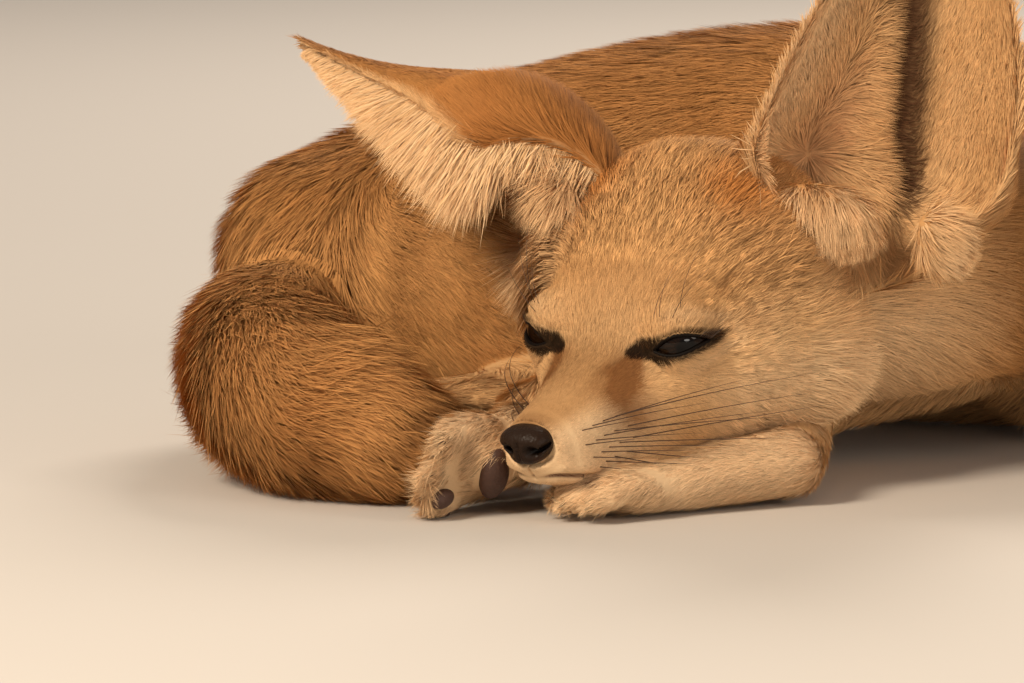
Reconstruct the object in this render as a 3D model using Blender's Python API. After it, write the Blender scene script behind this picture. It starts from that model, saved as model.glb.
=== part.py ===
"""A fennec fox, life size, lying curled with its chin on its forepaws.

World frame: +Z up, the floor at z = 0. The fox faces -Y and a little -X, its trunk curls
round behind the head from the right to the left, and the tail comes round the left side.
Sizes and places are in millimetres; MM turns them into metres when a mesh is made.
"""

import math

import bmesh
import bpy
import numpy as np

MM = 0.001
GAP = 0.3
FLOOR_SINK = 40.0
WORLD_UP = np.array([0.0, 0.0, 1.0])

# Head frame: back, left and up from the nose tip
NOSE_TIP = np.array([0.0, 0.0, 17.5])
HEAD_YAW = math.radians(34.0)
HEAD_PITCH = math.radians(13.0)

# Head sections: back from the nose, half-width, top, bottom, level of the widest point
HEAD_SECTIONS = [
    (1.5, 2.8, 2.8, -5.0, -1.5),
    (4.5, 6.9, 4.4, -9.2, -3.0),
    (9.0, 8.8, 5.6, -12.0, -3.8),
    (15.0, 9.9, 7.0, -14.6, -4.2),
    (21.0, 11.4, 8.7, -16.8, -4.0),
    (27.0, 13.8, 10.8, -18.6, -3.0),
    (33.0, 17.2, 13.6, -20.0, -1.0),
    (39.0, 21.2, 18.8, -21.2, 1.0),
    (46.0, 25.6, 26.2, -22.5, 1.0),
    (54.0, 29.8, 33.6, -24.0, 0.0),
    (63.0, 33.8, 39.6, -25.6, -1.0),
    (72.0, 36.6, 42.8, -26.6, -2.0),
    (81.0, 36.6, 42.6, -25.6, -1.0),
    (89.0, 32.0, 38.0, -20.0, 3.0),
    (95.0, 22.5, 30.0, -9.0, 8.0),
    (98.5, 10.0, 21.0, 2.0, 11.0),
]
HEAD_ROUNDNESS = 2.25
HEAD_RINGS = 27
HEAD_SIDES = 24
HEAD_CUTTER_RINGS = 18
HEAD_CUTTER_SIDES = 18
HEAD_CUTTER_ROOM = 1.2
# Bumps and hollows, the same on both sides: back, left, up, outward push, spread
HEAD_BUMPS = [
    (33.0, 13.0, 8.0, -1.6, 6.0),
    (42.0, 17.5, 12.0, 1.4, 7.0),
    (44.0, 15.0, 22.0, 1.8, 7.0),
    (52.0, 27.5, 3.0, 1.6, 10.0),
    (13.0, 8.5, -7.0, 1.0, 5.5),
    (33.0, 0.0, 13.5, -1.2, 6.5),
    (27.0, 13.0, -2.0, -0.8, 6.0),
]

EYE_RADIUS = 7.8
EYE_PLACE = (42.6, 13.5, 11.8)
EYE_TURN = math.radians(40.0)
LID_THICKNESS = 1.0
LID_SLIT_LENGTH = 10.2
LID_SLIT_HEIGHT = 2.3
LID_SLIT_TILT = math.radians(12.0)

NOSE_PAD_PLACE = (3.2, 0.0, -0.4)
NOSE_PAD_HALF = (4.2, 6.2, 4.3)
NOSTRIL_PLACE = (-0.4, 3.1, -0.6)
NOSTRIL_RADIUS = 1.4

MOUTH_LINE = [(5.5, -8.0), (10.0, -9.6), (17.0, -12.0), (24.0, -14.0), (30.0, -14.6)]
MOUTH_GROOVE = 0.7

# Trunk, neck and tail stations: place x, y, z, half-width, rise above it, drop below it
TORSO = [
    (129.0, 101.0, 43.0, 31.0, 31.0, 27.0),
    (141.0, 129.0, 44.0, 40.0, 40.0, 42.0),
    (121.0, 163.0, 45.0, 44.0, 48.0, 49.0),
    (76.0, 180.0, 47.0, 46.0, 52.0, 51.0),
    (26.0, 177.0, 46.0, 44.0, 48.0, 50.0),
    (-14.0, 162.0, 42.0, 41.0, 41.0, 46.0),
    (-44.0, 142.0, 39.0, 32.0, 35.0, 41.0),
]
NECK = [
    (48.0, 66.0, 42.0, 27.0, 28.0, 27.0),
    (75.0, 84.0, 45.0, 31.0, 29.0, 31.0),
    (105.0, 98.0, 47.0, 34.0, 29.0, 29.0),
    (133.0, 114.0, 46.0, 36.0, 35.0, 32.0),
]
TAIL = [
    (-42.0, 140.0, 36.0, 15.0, 15.0, 15.0),
    (-53.0, 118.0, 32.0, 19.0, 19.0, 19.0),
    (-56.0, 92.0, 27.0, 21.0, 21.0, 21.0),
    (-52.0, 68.0, 23.0, 22.0, 22.0, 22.0),
    (-41.0, 50.0, 18.5, 20.0, 20.0, 19.0),
    (-27.0, 42.0, 14.0, 15.0, 15.0, 14.0),
    (-12.0, 43.0, 10.0, 8.0, 8.0, 8.0),
]
TORSO_CUTS = (0.0, 0.36, 0.70, 1.0)
TAIL_CORE_SHARE = 0.62
TAIL_CUTS = (0.0, 0.40, 0.70, 1.0)
TAIL_LOCK_LENGTH = 32.0
TAIL_LOCK_WIDTH = 13.0
TAIL_LOCK_THICKNESS = 3.0
TAIL_LOCKS = (10, 14, 14)

# Legs: stations as above, from the body outwards
THIGH_RIGHT = [
    (-20.0, 130.0, 38.0, 28.0, 33.0, 40.0),
    (4.0, 120.0, 36.0, 31.0, 32.0, 38.0),
    (34.0, 108.0, 31.0, 22.0, 26.0, 30.0),
]
SHANK_RIGHT = [
    (40.0, 99.0, 22.0, 13.0, 15.0, 17.0),
    (0.0, 92.0, 15.0, 10.0, 12.0, 12.0),
    (-42.0, 90.0, 10.0, 7.5, 9.0, 9.0),
]
FOOT_RIGHT = ((-50.0, 88.0, 9.0), (1.0, 71.0, 20.0))
THIGH_LEFT = [
    (-28.0, 174.0, 38.0, 22.0, 34.0, 38.0),
    (-2.0, 188.0, 38.0, 24.0, 36.0, 40.0),
    (28.0, 198.0, 30.0, 18.0, 26.0, 30.0),
]
SHANK_LEFT = [
    (36.0, 202.0, 22.0, 12.0, 15.0, 17.0),
    (4.0, 201.0, 15.0, 10.0, 12.0, 12.0),
    (-30.0, 196.0, 10.0, 7.5, 9.0, 9.0),
]
FOOT_LEFT = ((-38.0, 196.0, 8.5), (34.0, 214.0, 6.5))
UPPER_ARM_LEFT = [
    (128.0, 118.0, 48.0, 18.0, 24.0, 24.0),
    (104.0, 112.0, 32.0, 15.0, 20.0, 20.0),
    (70.0, 106.0, 16.0, 12.0, 13.0, 13.0),
]
UPPER_ARM_RIGHT = [
    (100.0, 140.0, 46.0, 18.0, 24.0, 24.0),
    (76.0, 128.0, 30.0, 15.0, 20.0, 20.0),
    (50.0, 115.0, 16.0, 12.0, 13.0, 14.0),
]
FOREARM_LEFT = [
    (64.0, 99.0, 13.0, 10.5, 11.0, 12.5),
    (63.0, 70.0, 11.0, 9.5, 10.0, 11.0),
    (61.0, 42.0, 10.0, 9.5, 9.0, 10.5),
]
FOREARM_RIGHT = [
    (46.0, 110.0, 12.0, 10.5, 11.0, 12.0),
    (26.0, 84.0, 12.0, 9.5, 10.0, 11.5),
    (3.0, 43.0, 18.5, 9.5, 10.0, 11.0),
]
PAW_LEFT = ((61.0, 36.0, 9.5), (9.0, 9.0, 4.6))
PAW_RIGHT = ((1.5, 31.0, 15.0), (-20.5, 7.5, 8.5))
PAW_LEFT_SOLE = (0.0, 0.0, -1.0)
PAW_RIGHT_SOLE = (0.20, -0.90, -0.40)
FOOT_SOLE = (0.0, 0.0, -1.0)
TOE_COUNT = 4
CLAW_LENGTH = 5.0

# Ears: length, wall, and sections at shares of the length: half-width, depth, half-angle of the curl
EAR_LENGTH = 98.0
EAR_WALL = 2.6
EAR_SECTIONS = [
    (-0.20, 12.0, 16.0, 120.0),
    (0.02, 24.0, 25.0, 118.0),
    (0.12, 29.5, 26.0, 112.0),
    (0.25, 29.0, 23.0, 102.0),
    (0.42, 25.5, 17.5, 92.0),
    (0.60, 19.5, 11.5, 80.0),
    (0.78, 12.0, 6.0, 64.0),
    (0.92, 5.6, 2.4, 50.0),
    (1.0, 1.6, 1.0, 40.0),
]
EAR_FOOT_TRIM = 0.20
EAR_BEND = 5.0
EAR_PLUG = {-1: (-8.0, 3.0, -3.0), 1: (3.0, -5.0, -8.0)}
EAR_PLUG_HALF = {-1: (14.0, 20.0, 11.0), 1: (15.0, 17.0, 9.0)}
EAR_LOBE = (19.0, 3.0, 3.0)
EAR_LOBE_HALF = (12.0, 9.5, 7.0)
EAR_POUCH_SHARE = 0.24
EAR_POUCH_HALF = (13.0, 4.5, 3.4)
EAR_ROWS = 13
EAR_COLUMNS = 11
EAR_LEFT_ROOT = (74.0, 40.0, 60.0)
EAR_LEFT_TIP = (93.0, 46.0, 156.0)
EAR_LEFT_OPENING = (-0.12, -0.98, 0.0)
EAR_RIGHT_ROOT = (1.5, 70.0, 61.5)
EAR_RIGHT_TIP = (-50.5, 145.5, 93.5)
EAR_RIGHT_OPENING = (-0.69, -0.18, -0.70)
EAR_FRINGE_LOCKS = 10
EAR_FRINGE_LENGTH = 22.0
EAR_FRINGE_WIDTH = 8.5
EAR_FRINGE_THICKNESS = 1.8

TRUNK = {"chest", "belly", "rump"}
TAIL_NAMES = {"tail_root", "tail_middle", "tail_tip"}

COATS = {
    "sand": ((0.68, 0.43, 0.22), 0.85),
    "cream": ((0.83, 0.62, 0.40), 0.85),
    "rust": ((0.55, 0.29, 0.11), 0.85),
    "dark": ((0.07, 0.04, 0.025), 0.8),
    "eye": ((0.03, 0.018, 0.01), 0.1),
    "nose": ((0.05, 0.035, 0.03), 0.45),
}


def clear_scene():
    for thing in list(bpy.data.objects):
        bpy.data.objects.remove(thing)


def unit(vector):
    vector = np.asarray(vector, float)
    return vector / np.linalg.norm(vector, axis=-1, keepdims=True)


def smooth(rows, at):
    """The columns of rows, whose first column is the place, on a smooth curve at the given places."""
    rows = np.asarray(rows, float)
    places, values = rows[:, 0], rows[:, 1:]
    slopes = np.gradient(values, places, axis=0)
    at = np.clip(np.asarray(at, float), places[0], places[-1])
    i = np.clip(np.searchsorted(places, at, side="right") - 1, 0, len(places) - 2)
    span = (places[i + 1] - places[i])[:, None]
    s = ((at - places[i]) / span[:, 0])[:, None]
    return (
        values[i] * (2 * s**3 - 3 * s**2 + 1)
        + slopes[i] * span * (s**3 - 2 * s**2 + s)
        + values[i + 1] * (3 * s**2 - 2 * s**3)
        + slopes[i + 1] * span * (s**3 - s**2)
    )


def along(stations, shares):
    """Centre, tangent, side, above and the three radii at shares of the length of a run of stations."""
    stations = np.asarray(stations, float)
    steps = np.linalg.norm(np.diff(stations[:, :3], axis=0), axis=1)
    reach = np.concatenate([[0.0], np.cumsum(steps)])
    rows = np.column_stack([reach, stations])
    shares = np.atleast_1d(np.asarray(shares, float))
    got = smooth(rows, shares * reach[-1])
    nudge = 0.01
    ahead = smooth(rows, np.clip(shares + nudge, 0, 1) * reach[-1])[:, :3]
    behind = smooth(rows, np.clip(shares - nudge, 0, 1) * reach[-1])[:, :3]
    tangent = unit(ahead - behind)
    side = unit(np.cross(tangent, WORLD_UP))
    above = np.cross(side, tangent)
    return got[:, :3], tangent, side, above, got[:, 3:]


def tube(stations, rings, sides, span=(0.0, 1.0), scale=1.0, caps=(0.8, 0.8), cap_rings=3):
    """Rings of points round a run of stations, with a rounded cap at each end: (rings, first pole, last pole)."""
    shares = np.linspace(span[0], span[1], rings)
    centre, tangent, side, above, radii = along(stations, shares)
    radii = radii * scale
    cap_turns = np.linspace(math.pi / 2, 0.0, cap_rings + 2)[1:-1]
    rows = []

    def ring(k, shift, shrink):
        turn = np.linspace(0, 2 * math.pi, sides, endpoint=False)[:, None]
        lift = np.where(np.sin(turn) > 0, radii[k, 1], radii[k, 2]) * np.sin(turn)
        return centre[k] + shift + shrink * (side[k] * np.cos(turn) * radii[k, 0] + above[k] * lift)

    poles = []
    for k, way, cap in ((0, -1, caps[0]), (rings - 1, 1, caps[1])):
        bulge = tangent[k] * way * cap * radii[k].mean()
        turns = cap_turns if way < 0 else cap_turns[::-1]
        capped = [ring(k, bulge * math.sin(t), math.cos(t)) for t in turns]
        if way < 0:
            rows += capped + [ring(i, 0.0, 1.0) for i in range(rings)]
        else:
            rows += capped
        poles.append(centre[k] + bulge)
    return np.array(rows), poles[0], poles[1]


def mesh_object(name, points, faces):
    """An object with this closed mesh, its faces split into triangles and turned outwards."""
    mesh = bpy.data.meshes.new(name)
    mesh.from_pydata((np.asarray(points) * MM).tolist(), [], [list(f) for f in faces])
    shape = bmesh.new()
    shape.from_mesh(mesh)
    bmesh.ops.triangulate(shape, faces=shape.faces)
    bmesh.ops.recalc_face_normals(shape, faces=shape.faces)
    if shape.calc_volume(signed=True) < 0:
        bmesh.ops.reverse_faces(shape, faces=shape.faces)
    shape.to_mesh(mesh)
    shape.free()
    made = bpy.data.objects.new(name, mesh)
    bpy.context.scene.collection.objects.link(made)
    return made


def skin_rings(name, rings, first_pole, last_pole):
    """A closed object over rings of points that run from one pole to the other."""
    count, sides = rings.shape[:2]
    points = np.concatenate([rings.reshape(-1, 3), [first_pole, last_pole]])
    start, end = count * sides, count * sides + 1
    faces = []
    for j in range(sides):
        k = (j + 1) % sides
        faces.append((start, k, j))
        faces += [
            (i * sides + j, i * sides + k, (i + 1) * sides + k, (i + 1) * sides + j)
            for i in range(count - 1)
        ]
        faces.append((end, (count - 1) * sides + j, (count - 1) * sides + k))
    return mesh_object(name, points, faces)


def body_part(name, stations, rings, sides, **shape):
    return skin_rings(name, *tube(stations, rings, sides, **shape))


def ellipsoid(name, centre, axes, halves, sides=16, rings=9):
    """A closed ellipsoid on three axes."""
    axes = np.asarray(axes, float)
    turns = np.linspace(0, math.pi, rings + 2)[1:-1, None]
    around = np.linspace(0, 2 * math.pi, sides, endpoint=False)[None, :]
    local = np.stack(
        [
            -np.cos(turns) * np.ones_like(around) * halves[0],
            np.sin(turns) * np.cos(around) * halves[1],
            np.sin(turns) * np.sin(around) * halves[2],
        ],
        axis=-1,
    )
    reach = axes[0] * halves[0]
    return skin_rings(name, centre + local @ axes, centre - reach, centre + reach)


def remove(thing):
    mesh = thing.data
    bpy.data.objects.remove(thing)
    bpy.data.meshes.remove(mesh)


def keep_largest(mesh):
    """Drops every closed surface of the mesh but the one that holds the most."""
    shape = bmesh.new()
    shape.from_mesh(mesh)
    bmesh.ops.triangulate(shape, faces=shape.faces)
    left = set(shape.faces)
    bodies = []
    while left:
        reach = [left.pop()]
        body = list(reach)
        while reach:
            for edge in reach.pop().edges:
                for face in edge.link_faces:
                    if face in left:
                        left.remove(face)
                        reach.append(face)
                        body.append(face)
        bodies.append(body)

    def volume(body):
        return sum(f.verts[0].co.dot(f.verts[1].co.cross(f.verts[2].co)) for f in body)

    bodies.sort(key=volume, reverse=True)
    spare = [face for body in bodies[1:] for face in body]
    bmesh.ops.delete(shape, geom=spare, context="FACES")
    loose = [v for v in shape.verts if not v.link_faces]
    bmesh.ops.delete(shape, geom=loose, context="VERTS")
    shape.to_mesh(mesh)
    shape.free()


def combine(target, others, operation, solver="MANIFOLD"):
    """Applies one Boolean of target with a collection of closed objects, which are then removed."""
    group = bpy.data.collections.new("pieces")
    bpy.context.scene.collection.children.link(group)
    for piece in others:
        bpy.context.scene.collection.objects.unlink(piece)
        group.objects.link(piece)
    modifier = target.modifiers.new("combine", "BOOLEAN")
    modifier.operation = operation
    modifier.operand_type = "COLLECTION"
    modifier.collection = group
    modifier.solver = solver
    graph = bpy.context.evaluated_depsgraph_get()
    made = bpy.data.meshes.new_from_object(target.evaluated_get(graph))
    target.modifiers.remove(modifier)
    old = target.data
    target.data = made
    bpy.data.meshes.remove(old)
    for piece in list(group.objects):
        remove(piece)
    bpy.data.collections.remove(group)
    keep_largest(target.data)
    return target


def grown_copy(source, by=GAP):
    """A copy of a smooth closed object with its surface moved outwards, used as a cutter."""
    shape = bmesh.new()
    shape.from_mesh(source.data)
    shape.normal_update()
    shifts = [(v, v.normal * by * MM) for v in shape.verts]
    for vertex, shift in shifts:
        vertex.co += shift
    mesh = bpy.data.meshes.new(source.name + "_grown")
    shape.to_mesh(mesh)
    shape.free()
    made = bpy.data.objects.new(mesh.name, mesh)
    bpy.context.scene.collection.objects.link(made)
    return made


def lock(name, root, way, lift, length, width, thickness, sink=4.0, rise=0.30, bend=0.35, across=None):
    """A flat tapered lock of hair: from its sunk root it lifts off the surface and bends back along its lie."""
    way, lift = unit(way), unit(lift)
    across = unit(np.cross(way, lift)) if across is None else unit(across)
    sections = [(-sink / length, 0.55, 0.9), (0.30, 1.0, 1.0), (0.68, 0.72, 0.7)]

    def spot(share):
        up = rise * share - bend * share * share
        return root + way * (share * length) + lift * (up * length)

    rings = []
    for share, wide, thick in sections:
        heading = unit(spot(share + 0.02) - spot(share - 0.02))
        normal = np.cross(across, heading)
        half = across * width * wide / 2
        flat = normal * thickness * thick / 2
        centre = spot(share)
        rings.append([centre + half, centre + flat, centre - half, centre - flat])
    first = spot(sections[0][0]) - way * 0.6
    return skin_rings(name, np.array(rings), first, spot(1.0))


def head_axes():
    """Back, left and up of the head, as rows of a matrix in the world."""
    level = np.array([-math.sin(HEAD_YAW), -math.cos(HEAD_YAW), 0.0])
    forward = math.cos(HEAD_PITCH) * level - math.sin(HEAD_PITCH) * WORLD_UP
    up = math.sin(HEAD_PITCH) * level + math.cos(HEAD_PITCH) * WORLD_UP
    left = np.array([math.cos(HEAD_YAW), -math.sin(HEAD_YAW), 0.0])
    return np.array([-forward, left, up])


def from_head(points):
    """World places of points given as back, left, up of the nose tip."""
    return NOSE_TIP + np.asarray(points, float) @ head_axes()


def head_surface(back, turn):
    """Head-frame points of the head's sections: an oval with its own top and bottom, then bumps and hollows."""
    half_width, top, bottom, level = smooth(HEAD_SECTIONS, back.ravel()).T.reshape(4, *back.shape)
    power = 2 / HEAD_ROUNDNESS
    across = np.sign(np.cos(turn)) * np.abs(np.cos(turn)) ** power * half_width
    lift = np.sign(np.sin(turn)) * np.abs(np.sin(turn)) ** power
    height = level + np.where(lift > 0, top - level, level - bottom) * lift
    points = np.stack([back, across, height], axis=-1)
    outward = unit(np.stack([np.zeros_like(back), across, height - level], axis=-1) + 1e-9)
    for at_back, at_left, at_up, push, spread in HEAD_BUMPS:
        for side in (1, -1) if at_left else (1,):
            offset = points - np.array([at_back, at_left * side, at_up])
            near = np.exp(-np.sum(offset**2, axis=-1) / spread**2)
            points = points + outward * (push * near)[..., None]
    return points


def head_side(back, up):
    """How far left the head's surface is at a place back and a height up."""
    half_width, top, bottom, level = smooth(HEAD_SECTIONS, [back])[0]
    reach = (top - level) if up > level else (level - bottom)
    share = min(1.0, abs(up - level) / reach)
    return half_width * (1 - share**HEAD_ROUNDNESS) ** (1 / HEAD_ROUNDNESS)


def eye_axes(side):
    """Out of the eye, along the slit towards the temple, and up, for one side."""
    back, left, up = head_axes()
    out = unit(-back * math.cos(EYE_TURN) + left * side * math.sin(EYE_TURN) + up * 0.12)
    temple = unit(np.cross(up, out) * -side)
    temple = temple if np.dot(temple, back) > 0 else -temple
    rise = unit(up - out * np.dot(up, out))
    slit = temple * math.cos(LID_SLIT_TILT) + rise * math.sin(LID_SLIT_TILT)
    return np.array([out, slit, unit(np.cross(out, slit)) * np.sign(np.dot(np.cross(out, slit), up))])


def eye_place(side):
    back, left, up = EYE_PLACE
    return from_head((back, left * side, up))


def make_eye(name, side):
    return ellipsoid(name, eye_place(side), eye_axes(side), (EYE_RADIUS,) * 3, sides=12, rings=7)


def make_nose(name):
    """The leathery nose pad, with a nostril sunk in each side."""
    axes = head_axes()
    place = from_head(NOSE_PAD_PLACE)
    pad = ellipsoid(name, place, axes, NOSE_PAD_HALF, sides=14, rings=7)
    back, left, up = NOSTRIL_PLACE
    holes = [
        ellipsoid(
            f"nostril_{side}",
            from_head((NOSE_PAD_PLACE[0] + back - 3.2, left * side, NOSE_PAD_PLACE[2] + up)),
            axes,
            (2.4, NOSTRIL_RADIUS, NOSTRIL_RADIUS),
            sides=8,
            rings=4,
        )
        for side in (1, -1)
    ]
    return combine(pad, holes, "DIFFERENCE")


def eye_slit(side):
    """An almond wedge in front of the eye, which opens the lids."""
    axes = eye_axes(side)
    place = eye_place(side) + axes[0] * EYE_RADIUS * 1.05
    halves = (EYE_RADIUS * 0.62, LID_SLIT_LENGTH, LID_SLIT_HEIGHT)
    return ellipsoid(f"slit_{side}", place, axes, halves, sides=12, rings=5)


def mouth_groove(side):
    """A thin worm along the line of the mouth, sunk half in the lips."""
    points = np.array([(back, head_side(back, up) * side, up) for back, up in MOUTH_LINE])
    stations = np.column_stack([from_head(points), np.full((len(points), 3), MOUTH_GROOVE)])
    return body_part(f"mouth_{side}", stations, 8, 5, cap_rings=0)


def head_form(name, rings, sides):
    """Skull, cheeks and muzzle as one closed form."""
    ends = (HEAD_SECTIONS[0][0], HEAD_SECTIONS[-1][0])
    ease = (1 - np.cos(np.linspace(0, math.pi, rings))) / 2
    even = np.linspace(0, 1, rings)
    back = ends[0] + (ends[1] - ends[0]) * (0.45 * ease + 0.55 * even)
    turn = np.linspace(0, 2 * math.pi, sides, endpoint=False)
    grid = head_surface(*np.meshgrid(back, turn, indexing="ij"))
    first = np.append(ends[0] - 1.0, grid[0, :, 1:].mean(axis=0))
    last = np.append(ends[1] + 1.5, grid[-1, :, 1:].mean(axis=0))
    return skin_rings(name, from_head(grid), from_head(first), from_head(last))


def make_head(name):
    """The head with lids, sockets, the line of the mouth and room for the nose pad."""
    head = head_form(name, HEAD_RINGS, HEAD_SIDES)
    lids = [
        ellipsoid(f"lid_{side}", eye_place(side), eye_axes(side), (EYE_RADIUS + LID_THICKNESS,) * 3, 14, 7)
        for side in (1, -1)
    ]
    combine(head, lids, "UNION")
    room = [
        ellipsoid(f"socket_{side}", eye_place(side), eye_axes(side), (EYE_RADIUS + GAP * 1.2,) * 3, 12, 7)
        for side in (1, -1)
    ]
    nose_room = ellipsoid("nose_room", from_head(NOSE_PAD_PLACE), head_axes(), np.array(NOSE_PAD_HALF) + GAP, 14, 7)
    cuts = [mouth_groove(side) for side in (1, -1)] + [eye_slit(side) for side in (1, -1)]
    return combine(head, room + [nose_room] + cuts, "DIFFERENCE")


def ear_frame(root, tip, opening):
    """Root, up the ear, out of its opening, and across it."""
    root = np.asarray(root, float)
    up = unit(np.asarray(tip, float) - root)
    opening = np.asarray(opening, float)
    out = unit(opening - up * np.dot(opening, up))
    return root, up, out, np.cross(up, out)


def ear_sheet(frame, share, swing, inset, side):
    """Points of the ear's cup: a curl of the section's half-angle, bulging away from the opening."""
    root, up, out, across = frame
    half_width, depth, curl = smooth(EAR_SECTIONS, share.ravel()).T.reshape(3, *share.shape)
    curl = np.radians(curl)
    half_width = np.maximum(half_width - inset, 0.4)
    depth = np.maximum(depth - inset, 0.2)
    widest = np.where(curl > math.pi / 2, 1.0, np.sin(curl))
    x = half_width * np.sin(swing * curl) / widest
    y = -depth * (np.cos(swing * curl) - np.cos(curl)) / (1 - np.cos(curl))
    lean = -side * EAR_BEND * np.sin(math.pi * np.clip(share, 0, 1))
    return (
        root
        + up * (share * EAR_LENGTH)[..., None]
        + across * (x * side + lean)[..., None]
        + out * y[..., None]
    )


def make_ear(name, frame, side):
    """A cupped shell with a solid root, a plug in the bottom of the cup and locks across the opening."""
    share = np.linspace(EAR_SECTIONS[0][0], 1.0, EAR_ROWS)
    swing = np.sin(np.linspace(-1, 1, EAR_COLUMNS) * math.pi / 2 * 0.92) / math.sin(math.pi / 2 * 0.92)
    grid = np.meshgrid(share, swing, indexing="ij")
    grid[0] = grid[0] + EAR_FOOT_TRIM * np.abs(grid[1]) * (1 - grid[0]) / (1 - share[0])
    outer = ear_sheet(frame, *grid, 0.0, side)
    rows, columns = grid[0].shape
    taper = EAR_WALL * (1 - 0.55 * np.clip(share, 0, 1) ** 2)
    inner = np.stack([
        ear_sheet(frame, grid[0][i : i + 1], grid[1][i : i + 1] * 0.985, taper[i], side)[0] for i in range(rows)
    ])
    points = np.concatenate([outer.reshape(-1, 3), inner.reshape(-1, 3)])
    count = rows * columns
    faces = []

    def outer_at(i, j):
        return i * columns + j

    def inner_at(i, j):
        return count + i * columns + j

    for i in range(rows - 1):
        for j in range(columns - 1):
            for at, flip in ((outer_at, False), (inner_at, True)):
                one = (at(i, j), at(i, j + 1), at(i + 1, j + 1))
                two = (at(i, j), at(i + 1, j + 1), at(i + 1, j))
                faces += [one[::-1], two[::-1]] if flip else [one, two]
    rim = [(0, j) for j in range(columns)] + [(i, columns - 1) for i in range(1, rows)]
    rim += [(rows - 1, j) for j in range(columns - 2, -1, -1)] + [(i, 0) for i in range(rows - 2, 0, -1)]
    for here, there in zip(rim, rim[1:] + rim[:1]):
        faces.append((outer_at(*there), outer_at(*here), inner_at(*here)))
        faces.append((outer_at(*there), inner_at(*here), inner_at(*there)))
    ear = mesh_object(name, points, faces)
    root, up, out, across = frame
    axes = np.array([up, across, out])
    temple = -across * side

    def lump(name, place, halves, sides, rings):
        beside, above, before = place
        return ellipsoid(name, root + temple * beside + up * above + out * before, axes, halves, sides, rings)

    pouch_place = ear_sheet(frame, np.array([[EAR_POUCH_SHARE]]), np.array([[-0.94]]), 0.0, side)[0, 0]
    lumps = [
        lump("plug", EAR_PLUG[side], EAR_PLUG_HALF[side], 14, 6),
        lump("lobe", EAR_LOBE, EAR_LOBE_HALF, 10, 5),
        ellipsoid("pouch", pouch_place, axes, EAR_POUCH_HALF, 8, 5),
    ]
    return combine(ear, lumps + ear_fringe(frame, side), "UNION")


def ear_fringe(frame, side):
    """Long hair that grows inside the edge by the crown and sweeps across the cup towards the temple."""
    root, up, out, across = frame
    locks = []
    for k in range(EAR_FRINGE_LOCKS):
        share = 0.12 + 0.62 * k / (EAR_FRINGE_LOCKS - 1)
        size = 1.0 - 0.55 * k / (EAR_FRINGE_LOCKS - 1)
        at = np.array([[share]])
        place = ear_sheet(frame, at, np.array([[0.80]]), EAR_WALL, side)[0, 0]
        middle = ear_sheet(frame, at, np.array([[0.0]]), EAR_WALL, side)[0, 0]
        lift = unit(middle + out * 22.0 * size - place)
        way = unit(-across * side * 0.9 + up * 0.25 + lift * 0.25)
        length = EAR_FRINGE_LENGTH * (0.4 + 0.6 * size)
        locks.append(lock(
            f"fringe_{k}", place, way, unit(out + lift), length, EAR_FRINGE_WIDTH * (0.6 + 0.4 * size),
            EAR_FRINGE_THICKNESS, sink=1.4 * size, rise=0.25, bend=0.30,
        ))
    return locks


def make_paw(name, ends, sole, width, back_height, with_pads=False, sides=9):
    """A foot from its wrist or heel to its toe tips: a long pad of flesh, four toes, claws and pads."""
    start, end = (np.asarray(p, float) for p in ends)
    heading = unit(end - start)
    reach = np.linalg.norm(end - start)
    under = unit(np.asarray(sole, float) - heading * np.dot(sole, heading))
    across = np.cross(heading, under)
    axes = np.array([heading, across, under])
    knuckle = start + heading * (reach - 17.0) - under * 0.5
    palm_stations = [
        (*start, width * 0.40, back_height, back_height),
        (*(start + (knuckle - start) * 0.5), width * 0.42, back_height * 0.85, back_height * 0.95),
        (*knuckle, width * 0.46, back_height * 0.78, back_height * 0.85),
    ]
    paw = body_part(name, palm_stations, 4, sides, cap_rings=2)
    pieces = []
    for toe in range(TOE_COUNT):
        place = toe - (TOE_COUNT - 1) / 2
        middle = 1.0 if abs(place) < 1 else 0.0
        root = knuckle + across * place * width * 0.20 - heading * 4.0
        tip = knuckle + across * place * width * 0.27 + heading * (12.0 + 3.5 * middle) + under * 1.0
        knee = (root + tip) / 2 - under * 2.2
        size = width * 0.185
        stations = [
            (*root, size, size, size),
            (*knee, size * 1.05, size * 1.1, size * 1.1),
            (*tip, size * 0.85, size * 0.85, size * 0.85),
        ]
        pieces.append(body_part(f"toe_{toe}", stations, 3, 6, cap_rings=1))
        claw_root = tip + heading * size * 0.2 - under * 0.4
        claw_tip = claw_root + heading * CLAW_LENGTH + under * 1.6
        claw_knee = (claw_root + claw_tip) / 2 - under * 0.4
        claw = [(*claw_root, 1.1, 1.1, 1.1), (*claw_knee, 0.9, 0.9, 0.9), (*claw_tip, 0.35, 0.35, 0.35)]
        pieces.append(body_part(f"claw_{toe}", claw, 3, 4, caps=(0.5, 0.5), cap_rings=0))
        if with_pads:
            pad_place = tip + under * size * 0.62 - heading * 1.0
            pieces.append(ellipsoid(f"pad_{toe}", pad_place, axes, (3.3, 2.2, 1.9), 6, 3))
    if with_pads:
        palm_pad = knuckle + under * back_height * 0.62 + heading * 1.0
        pieces.append(ellipsoid("palm_pad", palm_pad, axes, (3.6, width * 0.26, 2.6), 8, 3))
    return combine(paw, pieces, "UNION")


def make_torso_length(name, number):
    """One length of the trunk, a little over its cuts, with a round end where it has a free one."""
    low, high = TORSO_CUTS[number], TORSO_CUTS[number + 1]
    span = (max(0.0, low - 0.02), min(1.0, high + 0.02))
    caps = (0.8 if number == 0 else 0.02, 0.8 if number == len(TORSO_CUTS) - 2 else 0.02)
    return body_part(name, TORSO, 7, 18, span=span, caps=caps)


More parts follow.
